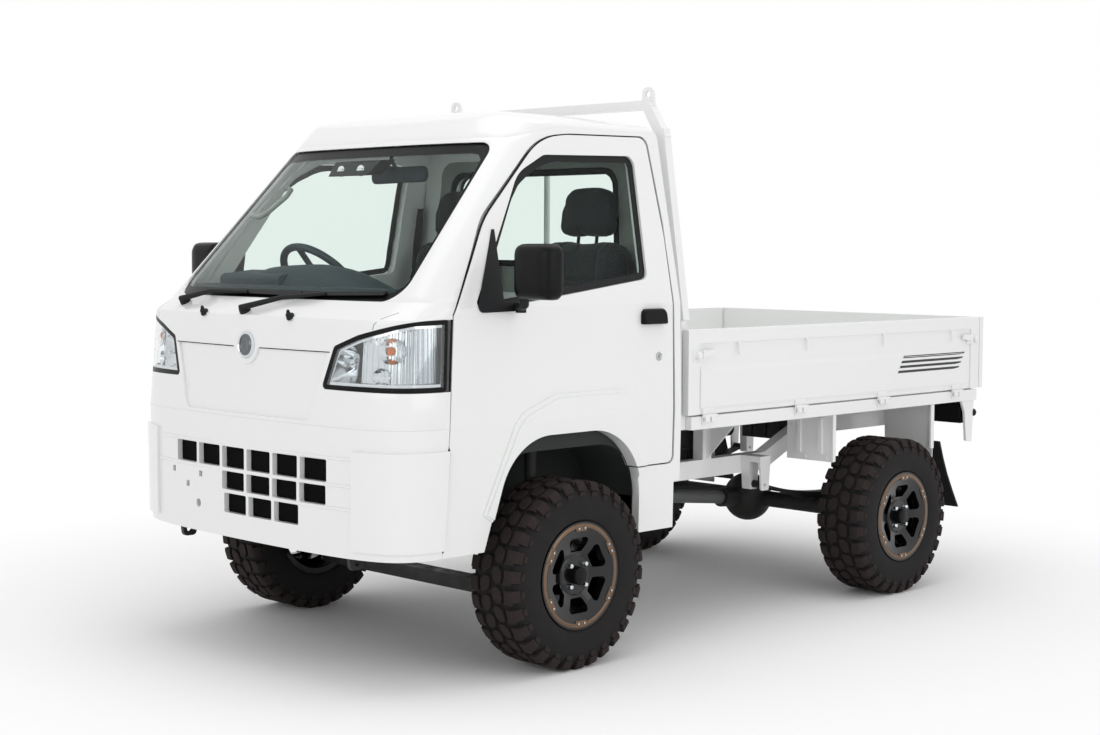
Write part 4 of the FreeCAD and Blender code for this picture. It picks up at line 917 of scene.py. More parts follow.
def lamp_bowl(rim, centre, at, start, depth):
    """A reflector shell that draws in from its rim to the hole of its bulb."""
    middle, shell = at(*centre, 0.0)[0], []
    for wall in (0.0, BOWL_WALL):
        rows = []
        for r in range(BOWL_RINGS + 1):
            t = (1 - BOWL_HOLE) * r / BOWL_RINGS
            fall = start + wall + depth * (1 - (1 - t) ** 2)
            row = []
            for a, b in rim:
                x = at(a, b, 0.0)[0]
                away = at(centre[0] + (a - centre[0]) * (1 - t), centre[1] + (b - centre[1]) * (1 - t), 0.0)
                row.append((x * (1 - t) + middle * t - fall, away[1], away[2]))
            rows.append(row)
        shell += rows if wall == 0.0 else rows[::-1]
    return Form().skin(shell, True, True, False)


def lamp_bulb(centre, at, depth, length, radius):
    """A bulb's glass, lying along its reflector's axis."""
    place = at(*centre, -depth)
    profile = [(0, 0), (0, radius * 0.7), (length * 0.3, radius * 0.8), (length * 0.55, radius),
               (length * 0.85, radius * 0.8), (length, 0)]
    return Form().turned(profile, place, (1, 0, 0), 20)


def lamp_socket(centre, at, depth, radius):
    """The plated ring that holds a bulb."""
    profile = [(0, 0), (0, radius), (9, radius), (11, radius - 3), (11, 0)]
    return Form().turned(profile, at(*centre, -depth - 8), (1, 0, 0), 20)


FLUTE_DEPTH, FLUTE_WIDTH = 2.4, 11.0


def make_headlamps():
    """Clear lens, black edge, chrome bowls and bulbs of each headlamp, in place of the solid lamp."""
    skin = Skin("headlamps", "front_panel", "front_bumper", "door_left", "door_right")
    edge = rounded(LAMP)
    outer, inner = evened(edge, 96), evened(grown(edge, -15), 96)
    bright = evened(grown(edge, -24), 96)
    cover = grown(edge, -9)
    fluted = [(530, 972), (838, 972), (850, 1170), (720, 1166), (660, 1154), (600, 1136), (530, 1116)]
    main_rim = evened(rounded(MAIN_BOWL), 36)
    for name, sign in SIDES:
        at = lambda a, b, lift: skin.wrapped(a, b, sign, lift)
        border = piece("lamp_border_" + name, laid_band(outer, inner, at, 12.0, -0.3), "gloss_trim",
                       "chassis")
        if sign > 0:
            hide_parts("headlamps")
        bowls = Form().join(lamp_bowl(main_rim, MAIN_CENTRE, at, 12, 62))
        bowls.join(lamp_bowl(ring_outline(TURN_CENTRE, 41), TURN_CENTRE, at, 26, 34))
        bowls.join(lamp_bowl(ring_outline(SIDE_CENTRE, 27), SIDE_CENTRE, at, 28, 24))
        backing = laid_sheet(fluted, at, -40.0, 2.0, 160, 4,
                             lambda a: FLUTE_DEPTH * math.cos(2 * math.pi * a / FLUTE_WIDTH))
        backing.join(laid_band(inner, bright, at, 3.0, -9.0))
        housing = Form().join(laid_sheet(cover, at, -84.0, 4.0, 24, 3))
        housing.join(laid_band(evened(grown(edge, -1), 96), evened(grown(edge, -4), 96), at, 74.0, -12.0))
        bulbs = Form().join(lamp_bulb(MAIN_CENTRE, at, 66, 42, 8)).join(lamp_bulb(SIDE_CENTRE, at, 50, 20, 7))
        sockets = Form()
        for centre, depth, radius in ((MAIN_CENTRE, 64, 15), (TURN_CENTRE, 56, 12), (SIDE_CENTRE, 48, 9)):
            sockets.join(lamp_socket(centre, at, depth, radius))
        sockets.join(Form().turned([(0, 0), (0, 9), (14, 8), (17, 5), (17, 0)], at(*MAIN_CENTRE, -30),
                                   (1, 0, 0), 20))
        parts = (("lamp_lens_", laid_sheet(cover, at, -1.0, 3.0, 48, 8), "lens", SHARP),
                 ("lamp_bowls_", bowls, "chrome", 9), ("lamp_backing_", backing, "chrome", SHARP),
                 ("lamp_housing_", housing, "gloss_trim", SHARP), ("lamp_bulbs_", bulbs, "lens", SHARP),
                 ("turn_bulb_", lamp_bulb(TURN_CENTRE, at, 56, 38, 15), "amber_lens", SHARP),
                 ("lamp_sockets_", sockets, "plated", SHARP))
        for kind, form, material, sharp in parts:
            piece(kind + name, form, material, "chassis", sharp=sharp)


NOSE_SEAM = 1074.0
BADGE_Z = 1081.0
BADGE_LEAN = (1, 0, 0.06)
NOZZLES = (-259.0, 227.0)


def make_badge_and_nozzles():
    """The bare round badge, the seam beside it and the two washer nozzles on the nose."""
    skin = Skin("front_panel", "headlamps")
    place = skin.front(0, BADGE_Z)
    ring = Form().turned([(-2, 34), (-2, 46), (2, 46), (7, 42), (8, 39), (6, 36), (1, 34)], place, BADGE_LEAN,
                         64, True)
    piece("nose_badge_ring", ring, "chrome", "chassis")
    disc = Form().turned([(-2, 0), (-2, 35), (1.5, 35), (1.5, 27), (4.5, 24), (5.5, 20), (3, 15), (3, 0)],
                         place, BADGE_LEAN, 64)
    piece("nose_badge_disc", disc, "badge", "chassis")
    seams, nozzles = Form(), Form()
    for sign in (1, -1):
        at = lambda a, b, lift: skin.front(sign * a, b, lift)
        seams.join(laid_line([(72, NOSE_SEAM), (428, NOSE_SEAM + 1)], at, 3.2, 1.5, 0.4))
        seams.join(laid_line([(598, 1151), (601, 1166), (618, 1184), (648, 1204)], at, 1.6, 1.0, 0.3))
    piece("nose_seams", seams, "gloss_trim", "chassis")
    for y in NOZZLES:
        place = skin.front(y, 1180.0, -2.0)
        nozzles.join(Form().turned([(0, 0), (0, 15), (4, 15), (7, 12), (15, 9), (19, 5), (20, 0)], place,
                                   (0.8, 0, 0.6), 24))
        tip = Vector(place) + Vector((10, 0, 12))
        nozzles.join(Form().turned([(-3, 0), (-3, 7), (9, 5.5), (13, 3), (13, 0)], tip, (0.35, 0.35, 0.9),
                                   16))
    piece("washer_nozzles", nozzles, "trim", "chassis", bevel=0.5)


BUMPER_BEAM_Z = 772.0
BUMPER_BARS = ((658, -538, 538), (584, -142, 538), (743.5, -500, 538))
BOX_GAP = 0.2


def make_bumper_fittings():
    """Black backing behind the grille and the plate holes, as painted shade in their hollows, and the ridges
    along the grille's bars.
    """
    skin = Skin("front_bumper", "front_panel")
    flat = lambda a, b, lift: (skin.front(a, BUMPER_BEAM_Z)[0] + lift, a, b)
    backing = laid_sheet([(-520, 500), (520, 500), (520, 748), (-520, 748)], flat, -19.0, 4.0, 40, 2)
    piece("grille_painted_shade", backing, "void", "chassis")
    foremost = cad_box[1][0] / MM - BOX_GAP
    ridges = Form()
    for z, low, high in BUMPER_BARS:
        at = lambda a, b, lift: (min(skin.front(a, z)[0] + lift, foremost), a, b)
        ridges.join(laid_line([(low, z), (high, z)], at, 9.0, 9.0, 4.5))
    piece("bumper_ridges", ridges, "paint", "chassis", bevel=2.0)


WIPERS = (("right", (-467, 1207), (-330, 1248), [(-345, 1243), (-120, 1254), (165, 1252)]),
          ("left", (-37, 1188), (105, 1236), [(60, 1241), (300, 1256), (548, 1262)]))


def make_wipers():
    """Both wipers, parked along the bottom of the windscreen with their blades on the glass."""
    glass = Skin("cab_glass", "front_panel")
    for name, pivot, knee, blade in WIPERS:
        cap = Form().turned([(0, 0), (0, 19), (10, 19), (22, 15), (27, 10), (28, 0)],
                            glass.front(*pivot, -3.0), (0.55, 0, 0.83), 28)
        start = Vector(glass.front(*pivot, 20.0)) + Vector((0, 0, 14))
        bend = Vector(glass.front(*knee, 26.0)) + Vector((0, 0, 4))
        arm = Form().tube([start, bend, glass.front(*blade[1], 22.0)], [11, 8, 5.5], 10)
        piece("wiper_arm_" + name, cap.join(arm), "trim", "chassis", bevel=0.6)
        rail = laid_line(blade, glass.front, 13.0, 6.0, 15.0)
        rail.join(laid_line(blade, glass.front, 6.0, 9.0, 9.5))
        piece("wiper_blade_" + name, rail, "trim", "chassis", bevel=0.5)


# Outside mirrors, handles and locks of the doors

SIDE_LEAN = 0.2009
SIDE_AT_BELT = 727.5
BELT_Z = 1215.0
MIRROR_CENTRE = (900.0, 1332.0)
MIRROR_EDGE = [(812, 1243, 30), (984, 1243, 34), (984, 1420, 34), (812, 1420, 30)]
MIRROR_GLASS = [(826, 1257, 22), (970, 1257, 24), (970, 1406, 24), (826, 1406, 22)]
MIRROR_SAIL = [(1203, 1466, 0), (1196, 1466, 0), (1194, 1234, 4), (1122, 1234, 6), (1122, 1202, 8),
               (1318, 1199, 20)]
HANDLE_TOP = 1196
HANDLE = [(417, 1142, 5), (539, 1142, 5), (539, HANDLE_TOP, 22), (417, HANDLE_TOP, 22)]
HANDLE_SLOPE = 0.12
LOCK = (447, 1027)


def side_plane(sign):
    """The flat side of the cab above the belt, as a function that a form may be laid on."""
    return lambda a, b, lift: (a, sign * (SIDE_AT_BELT - (b - BELT_Z) * SIDE_LEAN + lift), b)


def mirror_head(sign):
    """A rounded mirror housing, domed in front and open for its glass behind."""
    outline = rounded(MIRROR_EDGE, 12.0)
    across, up = MIRROR_CENTRE
    rows = []
    for x, scale in ((1186, 0.86), (1181, 0.95), (1186, 0.995), (1200, 1.0), (1222, 0.985), (1236, 0.94),
                     (1245, 0.84), (1250, 0.66), (1252, 0.35)):
        rows.append([(x, sign * (across + (a - across) * scale), up + (b - up) * scale) for a, b in outline])
    return Form().skin(rows)


def make_mirror(name, sign):
    """Housing, glass, arm and sail triangle of one mirror, in place of its door's plain fittings."""
    body = "door_" + name
    head = piece("mirror_head_" + name, mirror_head(sign), "gloss_trim", body, sharp=50)
    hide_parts("door_fittings_" + name)
    glass = Form().prism([(sign * a, b) for a, b in rounded(MIRROR_GLASS)], "YZ", 1184.2, 1187.5)
    piece("mirror_glass_" + name, glass, "mirror", body, bevel=0.8)
    arm = Form().tube([(1136, sign * 716, 1217), (1158, sign * 765, 1213), (1186, sign * 812, 1226),
                       (1206, sign * 838, 1262)], [13, 15, 15, 12], 14)
    arm.join(Form().turned([(-16, 0), (-16, 17), (16, 17), (16, 0)], (1158, sign * 768, 1214), UP, 24))
    piece("mirror_arm_" + name, arm, "trim", body, bevel=1.0)
    plane, edge = side_plane(sign), rounded(MIRROR_SAIL)
    sail = Form().skin([[plane(a, b, lift) for a, b in edge] for lift in (-10.0, 5.0)])
    piece("mirror_sail_" + name, sail, "trim", body, bevel=1.5)


def make_handle_and_lock(name, sign):
    """The handle, and the lock with its slot, on one door's skin."""
    body = "door_" + name
    skin = Skin(body)
    at = lambda a, b, lift: skin.side(a, b, sign, lift)
    edge, face = evened(rounded(HANDLE), 48), evened(grown(rounded(HANDLE), -5), 48)
    rows = [[at(a, b, -1.0) for a, b in edge],
            [at(a, b, 13.0 + (HANDLE_TOP - b) * HANDLE_SLOPE) for a, b in edge],
            [at(a, b, 18.0 + (HANDLE_TOP - b) * HANDLE_SLOPE) for a, b in face]]
    piece("door_handle_" + name, Form().skin(rows), "gloss_trim", body, bevel=1.0, sharp=25)
    x, y, z = at(*LOCK, 0.0)
    lock = Form().turned([(-1, 0), (-1, 16), (2.5, 15), (3.0, 11), (1.0, 10), (1.0, 0)], (x, y, z),
                         (0, sign, 0), 28)
    piece("door_lock_" + name, lock, "plated", body, bevel=0.4)
    slot = Form().box((x - 1.3, x + 1.3), sorted((y + sign * 0.5, y + sign * 1.6)), (z - 5, z + 5))
    piece("lock_slot_" + name, slot, "gloss_trim", body)


# Inside of the cab

DASH_TOP, DASH_RISE, DASH_FOOT = 1225.0, 118.0, 1205.0
DASH_MIDDLE, DASH_WIDTH = -150.0, 860.0
# The hump's slices from the windscreen backwards: place, share of the rise, share of the width.
DASH_SLICES = ((1405, 0.0, 0.90), (1400, 0.45, 0.97), (1370, 0.8, 1.0), (1320, 0.98, 1.0), (1260, 1.0, 1.0),
               (1228, 0.96, 1.0), (1216, 0.86, 0.99), (1216, 0.5, 0.98), (1222, 0.0, 0.96))


def make_dash_hump():
    """The raised top of the dash over the instruments, with a lip round it."""
    rows = []
    for x, rise, width in DASH_SLICES:
        row = []
        for k in range(25):
            t = k / 24.0
            y = DASH_MIDDLE + (t - 0.5) * DASH_WIDTH * width
            bump = math.exp(-((y + 330) / 190.0) ** 2) * 0.55 + math.exp(-((y + 20) / 240.0) ** 2) * 0.5
            height = (DASH_RISE * rise) * min(1.0, 0.42 + bump) * math.sin(math.pi * t) ** 0.35
            row.append((x, y, DASH_TOP + height))
        rows.append(row + [(x, row[-1][1], DASH_FOOT), (x, row[0][1], DASH_FOOT)])
    piece("dash_hump", Form().skin(rows), "dash", "chassis", sharp=50)


DOOR_INSIDE = 691.5
DOOR_TRIM = [(436, 700, 20), (516, 700, 30), (548, 830, 60), (1236, 834, 60), (1330, 930, 40),
             (1292, 1172, 30), (436, 1180, 20)]
ARM_REST = [(560, 984, 14), (1010, 984, 14), (1010, 1022, 14), (560, 1030, 14)]


def make_door_trims():
    """Moulded trim panel, arm rest, pull and window winder inside each door."""
    outline = rounded(DOOR_TRIM)
    for name, sign in SIDES:
        body = "door_" + name
        inward = (0, -sign, 0)
        at = lambda x, depth, z: (x, sign * (DOOR_INSIDE - depth), z)
        rows = [[at(x, depth, z) for x, z in evened(grown(outline, inset), 120)]
                for depth, inset in ((0, 0.0), (6, 0.0), (10, -4.0))]
        piece("door_trim_" + name, Form().skin(rows), "liner", body, sharp=40)
        rest = Form().prism(rounded(ARM_REST), "XZ", sign * (DOOR_INSIDE - 62), sign * (DOOR_INSIDE - 8))
        rest.join(Form().tube([at(880, 12, 1100), at(884, 40, 1104), at(996, 40, 1112), at(1000, 12, 1110)],
                              8, 12))
        piece("door_arm_rest_" + name, rest, "dash", body, bevel=3.0)
        crank = Form().turned([(0, 0), (0, 26), (8, 24), (10, 0)], at(800, 8, 940), inward, 28)
        crank.join(Form().tube([at(800, 18, 940), at(760, 26, 960), at(706, 30, 972)], [9, 7, 7], 12))
        crank.join(Form().turned([(0, 0), (0, 10), (24, 12), (30, 8), (30, 0)], at(706, 30, 972), inward, 16))
        piece("window_winder_" + name, crank, "trim", body, bevel=0.8)


def make_gear_lever():
    """Gear lever with its rubber boot on the floor between the seats, and its knob."""
    boot = Form().turned([(0, 0), (0, 62), (10, 58), (28, 40), (44, 26), (60, 14), (64, 0)], (930, 0, 806),
                         (0.1, 0, 1), 32)
    boot.join(Form().tube([(932, 0, 850), (960, 0, 1010)], [9, 7], 14))
    piece("gear_lever", boot, "trim", "chassis", sharp=50)
    knob = Form().turned([(0, 0), (0, 14), (10, 22), (28, 25), (42, 20), (48, 0)], (958, 0, 1000),
                         (0.17, 0, 1), 28)
    piece("gear_knob", knob, "gloss_trim", "chassis", sharp=60)


MIRROR_MIDDLE = (12, 1660)


def make_camera_housing():
    """The twin-lens camera housing behind the top of the windscreen."""
    glass = Skin("cab_glass")
    front = [glass.front(y, z, -6.0) for y, z in ((-185, 1706), (70, 1706), (52, 1652), (-168, 1652))]
    rows = [front, [(x - 70, y, z + 6) for x, y, z in front]]
    piece("camera_housing", Form().skin(rows), "gloss_trim", "chassis", bevel=3.0)
    eyes = Form()
    for y in (-118.0, -8.0):
        eyes.join(Form().turned([(-8, 0), (-8, 20), (1, 20), (2, 17), (0.5, 12), (1.5, 0)],
                                glass.front(y, 1672, -7.5), (1, 0, 0.2), 24))
    piece("camera_windows", eyes, "mirror", "chassis")


def make_inside_mirror():
    """The inside mirror's housing and its stem up to the roof."""
    outline = rounded([(-135, 1630, 22), (160, 1634, 22), (160, 1690, 22), (-135, 1686, 22)])
    across, up = MIRROR_MIDDLE
    back = [[(x, across + (a - across) * k, up + (b - up) * k) for a, b in outline]
            for x, k in ((1018, 0.94), (1022, 1.0), (1034, 1.0), (1042, 0.9))]
    piece("inside_mirror", Form().skin(back), "dash", "chassis", sharp=40)
    stem = Form().tube([(1040, 12, 1680), (1062, 8, 1712), (1050, 5, 1760)], 7, 12)
    piece("inside_mirror_stem", stem, "dash", "chassis")


def make_grab_handle_and_belts():
    """The passenger's grab handle on the pillar, and both seat belts down the back wall."""
    grip = Form().tube([(1262, -556, 1520), (1250, -520, 1512), (1226, -504, 1528), (1146, -494, 1590),
                        (1120, -502, 1614), (1112, -535, 1622)], 10, 12)
    piece("grab_handle", grip, "liner", "chassis", sharp=60)
    belts = Form()
    for sign in (1, -1):
        rows = [[(x - 2, y - 22, z), (x - 2, y + 22, z), (x + 1, y + 22, z), (x + 1, y - 22, z)]
                for x, y, z in ((402, sign * 606, 1560), (404, sign * 630, 1300), (408, sign * 648, 1040),
                                (412, sign * 650, 880))]
        belts.join(Form().skin(rows))
    piece("seat_belts", belts, "belt", "chassis")


# Front wheel arches

ARCH_PATH = [(524, 450, 0), (524, 736, 190), (1190, 736, 215), (1306, 450, 0)]
ARCH_EDGE = [(544, 450, 0), (544, 789, 250), (1161, 789, 230), (1273, 450, 0)]
ARCH_INSIDE, ARCH_FLANGE, ARCH_OUTSIDE = 424, 694, 697


def make_arch_liners():
    """Curved black liners inside the front wheel arches, with a flange up to the opening's edge."""
    inner = evened(rounded(ARCH_PATH, 8.0), 40, closed=False)
    outer = evened(rounded(ARCH_EDGE, 8.0), 40, closed=False)
    for name, sign in SIDES:
        near, flange, far = sign * ARCH_INSIDE, sign * ARCH_FLANGE, sign * ARCH_OUTSIDE
        form = Form().skin([[(x, near, z), (x, far, z), (x, far, z - 3), (x, near, z - 3)] for x, z in inner])
        form.join(Form().skin([[(a[0], flange, a[1]), (b[0], flange, b[1]), (b[0], far, b[1]),
                                (a[0], far, a[1])] for a, b in zip(inner, outer)]))
        piece("arch_liner_" + name, form, "arch", "chassis", sharp=40)


# Load bed

HOOKS = (5.0, -411.0, -929.0, -1434.0)
# A hook's bar, as distances out from the gate's face with their heights.
HOOK_BEND = ((-6, 1064), (6, 1064), (12, 1058), (13, 1046), (13, 1016))
HINGES = (172.0, -380.0, -932.0, -1485.0)
LATCH_Z = 1020.0
LATCH_SPAN = 1612.0
STRIPES = ((902, -1040, -1500), (922, -1052, -1514), (942, -1064, -1528), (962, -1076, -1542))


def rope_hooks(sign, y):
    """The hooks of one side gate, bent from bar, with y the distance of its face."""
    form = Form()
    for x in HOOKS:
        form.join(Form().tube([(x, sign * (y + out), z) for out, z in HOOK_BEND], 4.0, 10))
    return form


def hinge_clips(sign):
    """Two clips and a pin at each hinge of one side gate."""
    form = Form()
    for x in HINGES:
        for middle in (x - 17, x + 17):
            clip = rounded([(middle - 13, 778, 5), (middle + 13, 778, 5), (middle + 13, 806, 7),
                            (middle - 13, 806, 7)], 3.0)
            form.join(Form().prism(clip, "XZ", sign * 737.5, sign * 747))
        form.join(Form().turned([(-38, 0), (-38, 6.5), (38, 6.5), (38, 0)], (x, sign * 741, 800), AHEAD, 16))
    return form


def gate_latch(sign, x, z, y):
    """A cast lever latch at one end of a side gate, on its face at a distance y."""
    plate = [(x - 62, z - 18, 10), (x + 26, z - 24, 6), (x + 30, z + 20, 6), (x - 30, z + 18, 12)]
    lever = [(x - 96, z + 2, 6), (x - 20, z - 10, 6), (x - 20, z + 20, 6), (x - 92, z + 20, 8)]
    form = Form().prism(rounded(plate), "XZ", sign * y, sign * (y + 9))
    form.join(Form().prism(rounded(lever), "XZ", sign * (y + 9), sign * (y + 19)))
    form.join(Form().turned([(0, 0), (0, 15), (20, 14), (23, 9), (23, 0)], (x + 4, sign * (y + 4), z),
                            (0, sign, 0), 24))
    return form


LENS_LOW, LENS_HIGH = 655, 747
LENSES = (("tail_red_", "red_lens", 560, 688), ("tail_amber_", "amber_lens", 514, 557),
          ("tail_clear_", "clear_lens", 472, 511))


def make_tail_lamp(name, sign):
    """Red, amber and clear lenses on the dark housing of one tail lamp, each with its ribs."""
    for label, material, low, high in LENSES:
        a, b = sorted((sign * low, sign * high))
        outline = rounded([(a, LENS_LOW, 6), (b, LENS_LOW, 6), (b, LENS_HIGH, 6), (a, LENS_HIGH, 6)])
        rows = [[(x, y, z) for y, z in evened(grown(outline, inset), 40)]
                for x, inset in ((-1646, 0), (-1652, 0), (-1656, -3), (-1657, -8), (-1646, -8))]
        lens = Form().skin(rows, True, True, False)
        for z in (677, 701, 725):
            lens.join(Form().tube([(-1655, a + 10, z), (-1655, b - 10, z)], 2.2, 6))
        lens.join(Form().box((-1657.5, -1655.5), (a + 7, b - 7), (LENS_LOW + 7, LENS_HIGH - 7)))
        piece(label + name, lens, material, "chassis")


def make_air_cleaner():
    """The ribbed box between the rails behind the cab."""
    outline = rounded([(-262, -96, 30), (250, -96, 30), (250, 322, 30), (-262, 322, 30)])
    layers = ((520, -16), (528, -4), (610, 0), (612, 6), (622, 6), (624, 0), (690, -3), (700, -14))
    box = Form().skin([[(x, y, z) for x, y in evened(grown(outline, inset), 64)] for z, inset in layers])
    for x in range(-200, 220, 50):
        box.join(Form().box((x - 4, x + 4), (318, 327), (535, 606)))
    piece("air_cleaner_box", box, "trim", "chassis", bevel=1.0)


def make_under_bed():
    """Air cleaner, its duct, gearbox case and the black plates that close the space under the bed as painted
    shade.
    """
    make_air_cleaner()
    # Painted shade: a black sheet inside the far rail and another across the bed near its end, dark where the
    # space under the bed lies in shade.
    along = [(270, 566), (270, 748), (-1556, 748), (-1556, 660), (-800, 660), (-560, 566)]
    shade_sheet = Form().prism(along, "XZ", -331, -326)
    for x in range(-1450, 200, 150):
        shade_sheet.join(Form().box((x - 8, x + 8), (-327, -319), (668, 742)))
    across = Form().prism([(-128, 566), (326, 566), (326, 748), (-326, 748), (-326, 655), (-128, 655)], "YZ",
                          -1106, -1101)
    for y in range(-80, 320, 80):
        across.join(Form().box((-1102, -1095), (y - 8, y + 8), (575, 740)))
    piece("under_bed_painted_shade", shade_sheet.join(across), "chassis", "chassis", bevel=0.8)
    duct = Form().tube([(-262, 180, 650), (-330, 185, 655), (-420, 210, 668), (-560, 230, 672)], 38, 20)
    piece("air_cleaner_duct", duct, "rubber", "chassis", sharp=60)
    # Painted shade: ribbed black plates under the bed floor, whose underside is body colour in shade; they
    # also cast real shadow.
    cover = Form()
    for low, high in ((-1105, -735), (-1556, -1200)):
        cover.join(Form().box((low, high), (-332, 332), (704, 712)))
        for y in range(-300, 301, 75):
            cover.join(Form().box((low + 10, high - 10), (y - 6, y + 6), (697, 705)))
    piece("bed_underside_painted_shade", cover, "chassis", "chassis", bevel=1.0)
    make_gearbox_case()


GEARBOX_Y, GEARBOX_Z = 20, 436
CASE_BOLTS, CASE_BOLT_CIRCLE = 10, 97


def make_gearbox_case():
    """The cast case behind the engine, turned round the drive line, with the bolts of its flange."""
    profile = [(0, 0), (0, 96), (12, 104), (60, 104), (66, 84), (118, 72), (170, 68), (182, 74), (200, 74),
               (206, 64), (300, 52), (306, 0)]
    case = Form().turned(profile, (470, GEARBOX_Y, GEARBOX_Z), (-1, 0, 0), 40)
    for k in range(CASE_BOLTS):
        turn = 2 * math.pi * k / CASE_BOLTS
        place = (405, GEARBOX_Y + CASE_BOLT_CIRCLE * math.cos(turn),
                 GEARBOX_Z + CASE_BOLT_CIRCLE * math.sin(turn))
        case.join(Form().turned([(0, 0), (0, 7), (10, 7), (12, 0)], place, (-1, 0, 0), 6))
    piece("gearbox_case", case, "alloy", "chassis", bevel=1.0)


def make_gate_fittings(name, sign):
    """Rope hooks, hinge clips, latches and stripes of one side gate."""
    body = "side_gate_" + name
    skin = Skin(body)
    face = abs(skin.side(-400.0, LATCH_Z, sign)[1])
    piece("rope_hooks_" + name, rope_hooks(sign, face), "paint", body)
    piece("hinge_clips_" + name, hinge_clips(sign), "paint", "chassis", bevel=1.2)
    turned_round = Matrix.Translation((-LATCH_SPAN, 0, 0)) @ Matrix.Diagonal((-1, 1, 1, 1))
    latches = gate_latch(sign, 236.0, LATCH_Z, face)
    latches.join(gate_latch(sign, 0.0, LATCH_Z, face).moved(turned_round))
    piece("gate_latches_" + name, latches, "paint", body, bevel=1.2)
    stripes = Form()
    for z, front, back in STRIPES:
        bar = [(front, z - 5), (front - 7, z + 5), (back - 7, z + 5), (back, z - 1), (back + 40, z - 5)]
        stripes.join(Form().skin([[skin.side(a, b, sign, lift) for a, b in bar] for lift in (-0.5, 0.5)]))
    piece("gate_stripes_" + name, stripes, "decal", body)


BRACKET = [(-1548, 782, 0), (-1664, 782, 4), (-1652, 566, 8), (-1606, 574, 8), (-1592, 700, 30)]
FLAP_X, FLAP_BACK, FLAP_TOP, FLAP_DROP = -1385.0, 112.0, 588.0, 290.0


def make_bed_ends(name, sign):
    """End bracket, rubber stop, mud flap and the ribs of the splash plates on one side of the bed."""
    piece("bed_end_bracket_" + name, Form().prism(rounded(BRACKET), "XZ", sign * 700, sign * 712), "paint",
          "chassis", bevel=1.0)
    stop = Form().turned([(0, 0), (0, 17), (22, 17), (26, 14), (26, 0)], (-1656, sign * 700, 694), (-1, 0, 0),
                         24)
    piece("bed_stop_" + name, stop, "rubber", "chassis", bevel=1.0)
    rows = []
    for t, grow in ((0.0, 0.0), (0.25, 0.0), (0.5, 4.0), (0.75, 14.0), (1.0, 26.0)):
        x, z = FLAP_X - FLAP_BACK * t, FLAP_TOP - FLAP_DROP * t
        low, high = sign * (490 + grow * 0.3), sign * (716 + grow)
        rows.append([(x, low, z), (x, high, z), (x - 11, high, z), (x - 11, low, z)])
    piece("mud_flap_" + name, Form().skin(rows), "rubber", "chassis", bevel=0.8)
    splash = Form()
    for y in (545.0, 650.0):
        rib = [(sign * (y - 12), 590), (sign * (y + 12), 590), (sign * (y + 9), 735), (sign * (y - 9), 735)]
        splash.join(Form().prism(rib, "YZ", -633, -620))
        splash.join(Form().turned([(0, 0), (0, 9), (3, 8), (4.5, 0)], (-626, sign * (y + 30), 575), AHEAD, 8))
    for x in ((-640, -622), (-1346, -1322)):
        splash.join(Form().box(x, sorted((sign * 706, sign * 716)), (562, 750)))
    piece("splash_ribs_" + name, splash, "paint", "chassis", bevel=1.5)


# Seats

SEAT_VOXEL = 6.0
SEAT_PRESSURE = 4.0
SEAT_FRAMES = 20
SEAT_LEAN = math.radians(8.0)
SEAT_MIDDLE = 352.0
BACK_X, BACK_Z = 486, 900
CUSHION_TOP = 850
# Added to a sewn line's distance where the pad has no seam.
UNSEWN = 60.0


def stuffed(name, form, cap):
    """Remeshes a closed form finely and swells it as filled cloth, no point further than the cap."""
    item = on_its_own(mesh_of(name, form), name + "_work")
    remesh = item.modifiers.new("remesh", "REMESH")
    remesh.mode = "VOXEL"
    remesh.voxel_size = SEAT_VOXEL * MM
    mesh = taken_from(item, name)
    before = [v.co.copy() for v in mesh.vertices]
    item = on_its_own(mesh, name + "_work")
    cloth = item.modifiers.new("cloth", "CLOTH")
    cloth.settings.use_pressure = True
    cloth.settings.uniform_pressure_force = SEAT_PRESSURE
    cloth.settings.effector_weights.gravity = 0.0
    cloth.settings.quality = 4
    cloth.point_cache.frame_start, cloth.point_cache.frame_end = 1, SEAT_FRAMES
    for step in range(1, SEAT_FRAMES + 1):
        bpy.context.scene.frame_set(step)
    mesh = taken_from(item, name)
    for vert, old in zip(mesh.vertices, before):
        way = vert.co - old
        if way.length > cap * MM:
            vert.co = old + way.normalized() * cap * MM
    bpy.context.scene.frame_set(1)
    return mesh


def sewn(mesh, lines, depth, width):
    """Draws a padded mesh in along its sewn lines, given as functions of distance in millimetres."""
    normals = [v.normal.copy() for v in mesh.vertices]
    for vert, normal in zip(mesh.vertices, normals):
        place = vert.co / MM
        pull = max(math.exp(-(line(place) / width) ** 2) for line in lines)
        vert.co -= normal * pull * depth * MM


def seat_lines(half, axis, places, faced):
    """Two sewn lines down a pad, and between them the lines across it at places on an axis."""
    off = lambda p: 0.0 if faced(p) else UNSEWN
    from_middle = lambda p: abs(p.y - SEAT_MIDDLE)
    across = [lambda p, at=at: abs(p[axis] - at) + off(p) + max(0, from_middle(p) - half) for at in places]
    return [lambda p: abs(from_middle(p) - half) + off(p)] + across


def seat_shape(outline, layers, place):
    """A closed form of rounded outlines, stacked at the given heights and insets."""
    rows = [[place(a, b, height) for a, b in evened(grown(outline, inset), 72)] for height, inset in layers]
    return Form().skin(rows)


def tilted(a, b, height):
    """A place on the seat back: a across, b up its slope and height out of its face."""
    return (BACK_X - b * math.sin(SEAT_LEAN) + height * math.cos(SEAT_LEAN), a,
            BACK_Z + b * math.cos(SEAT_LEAN) + height * math.sin(SEAT_LEAN))


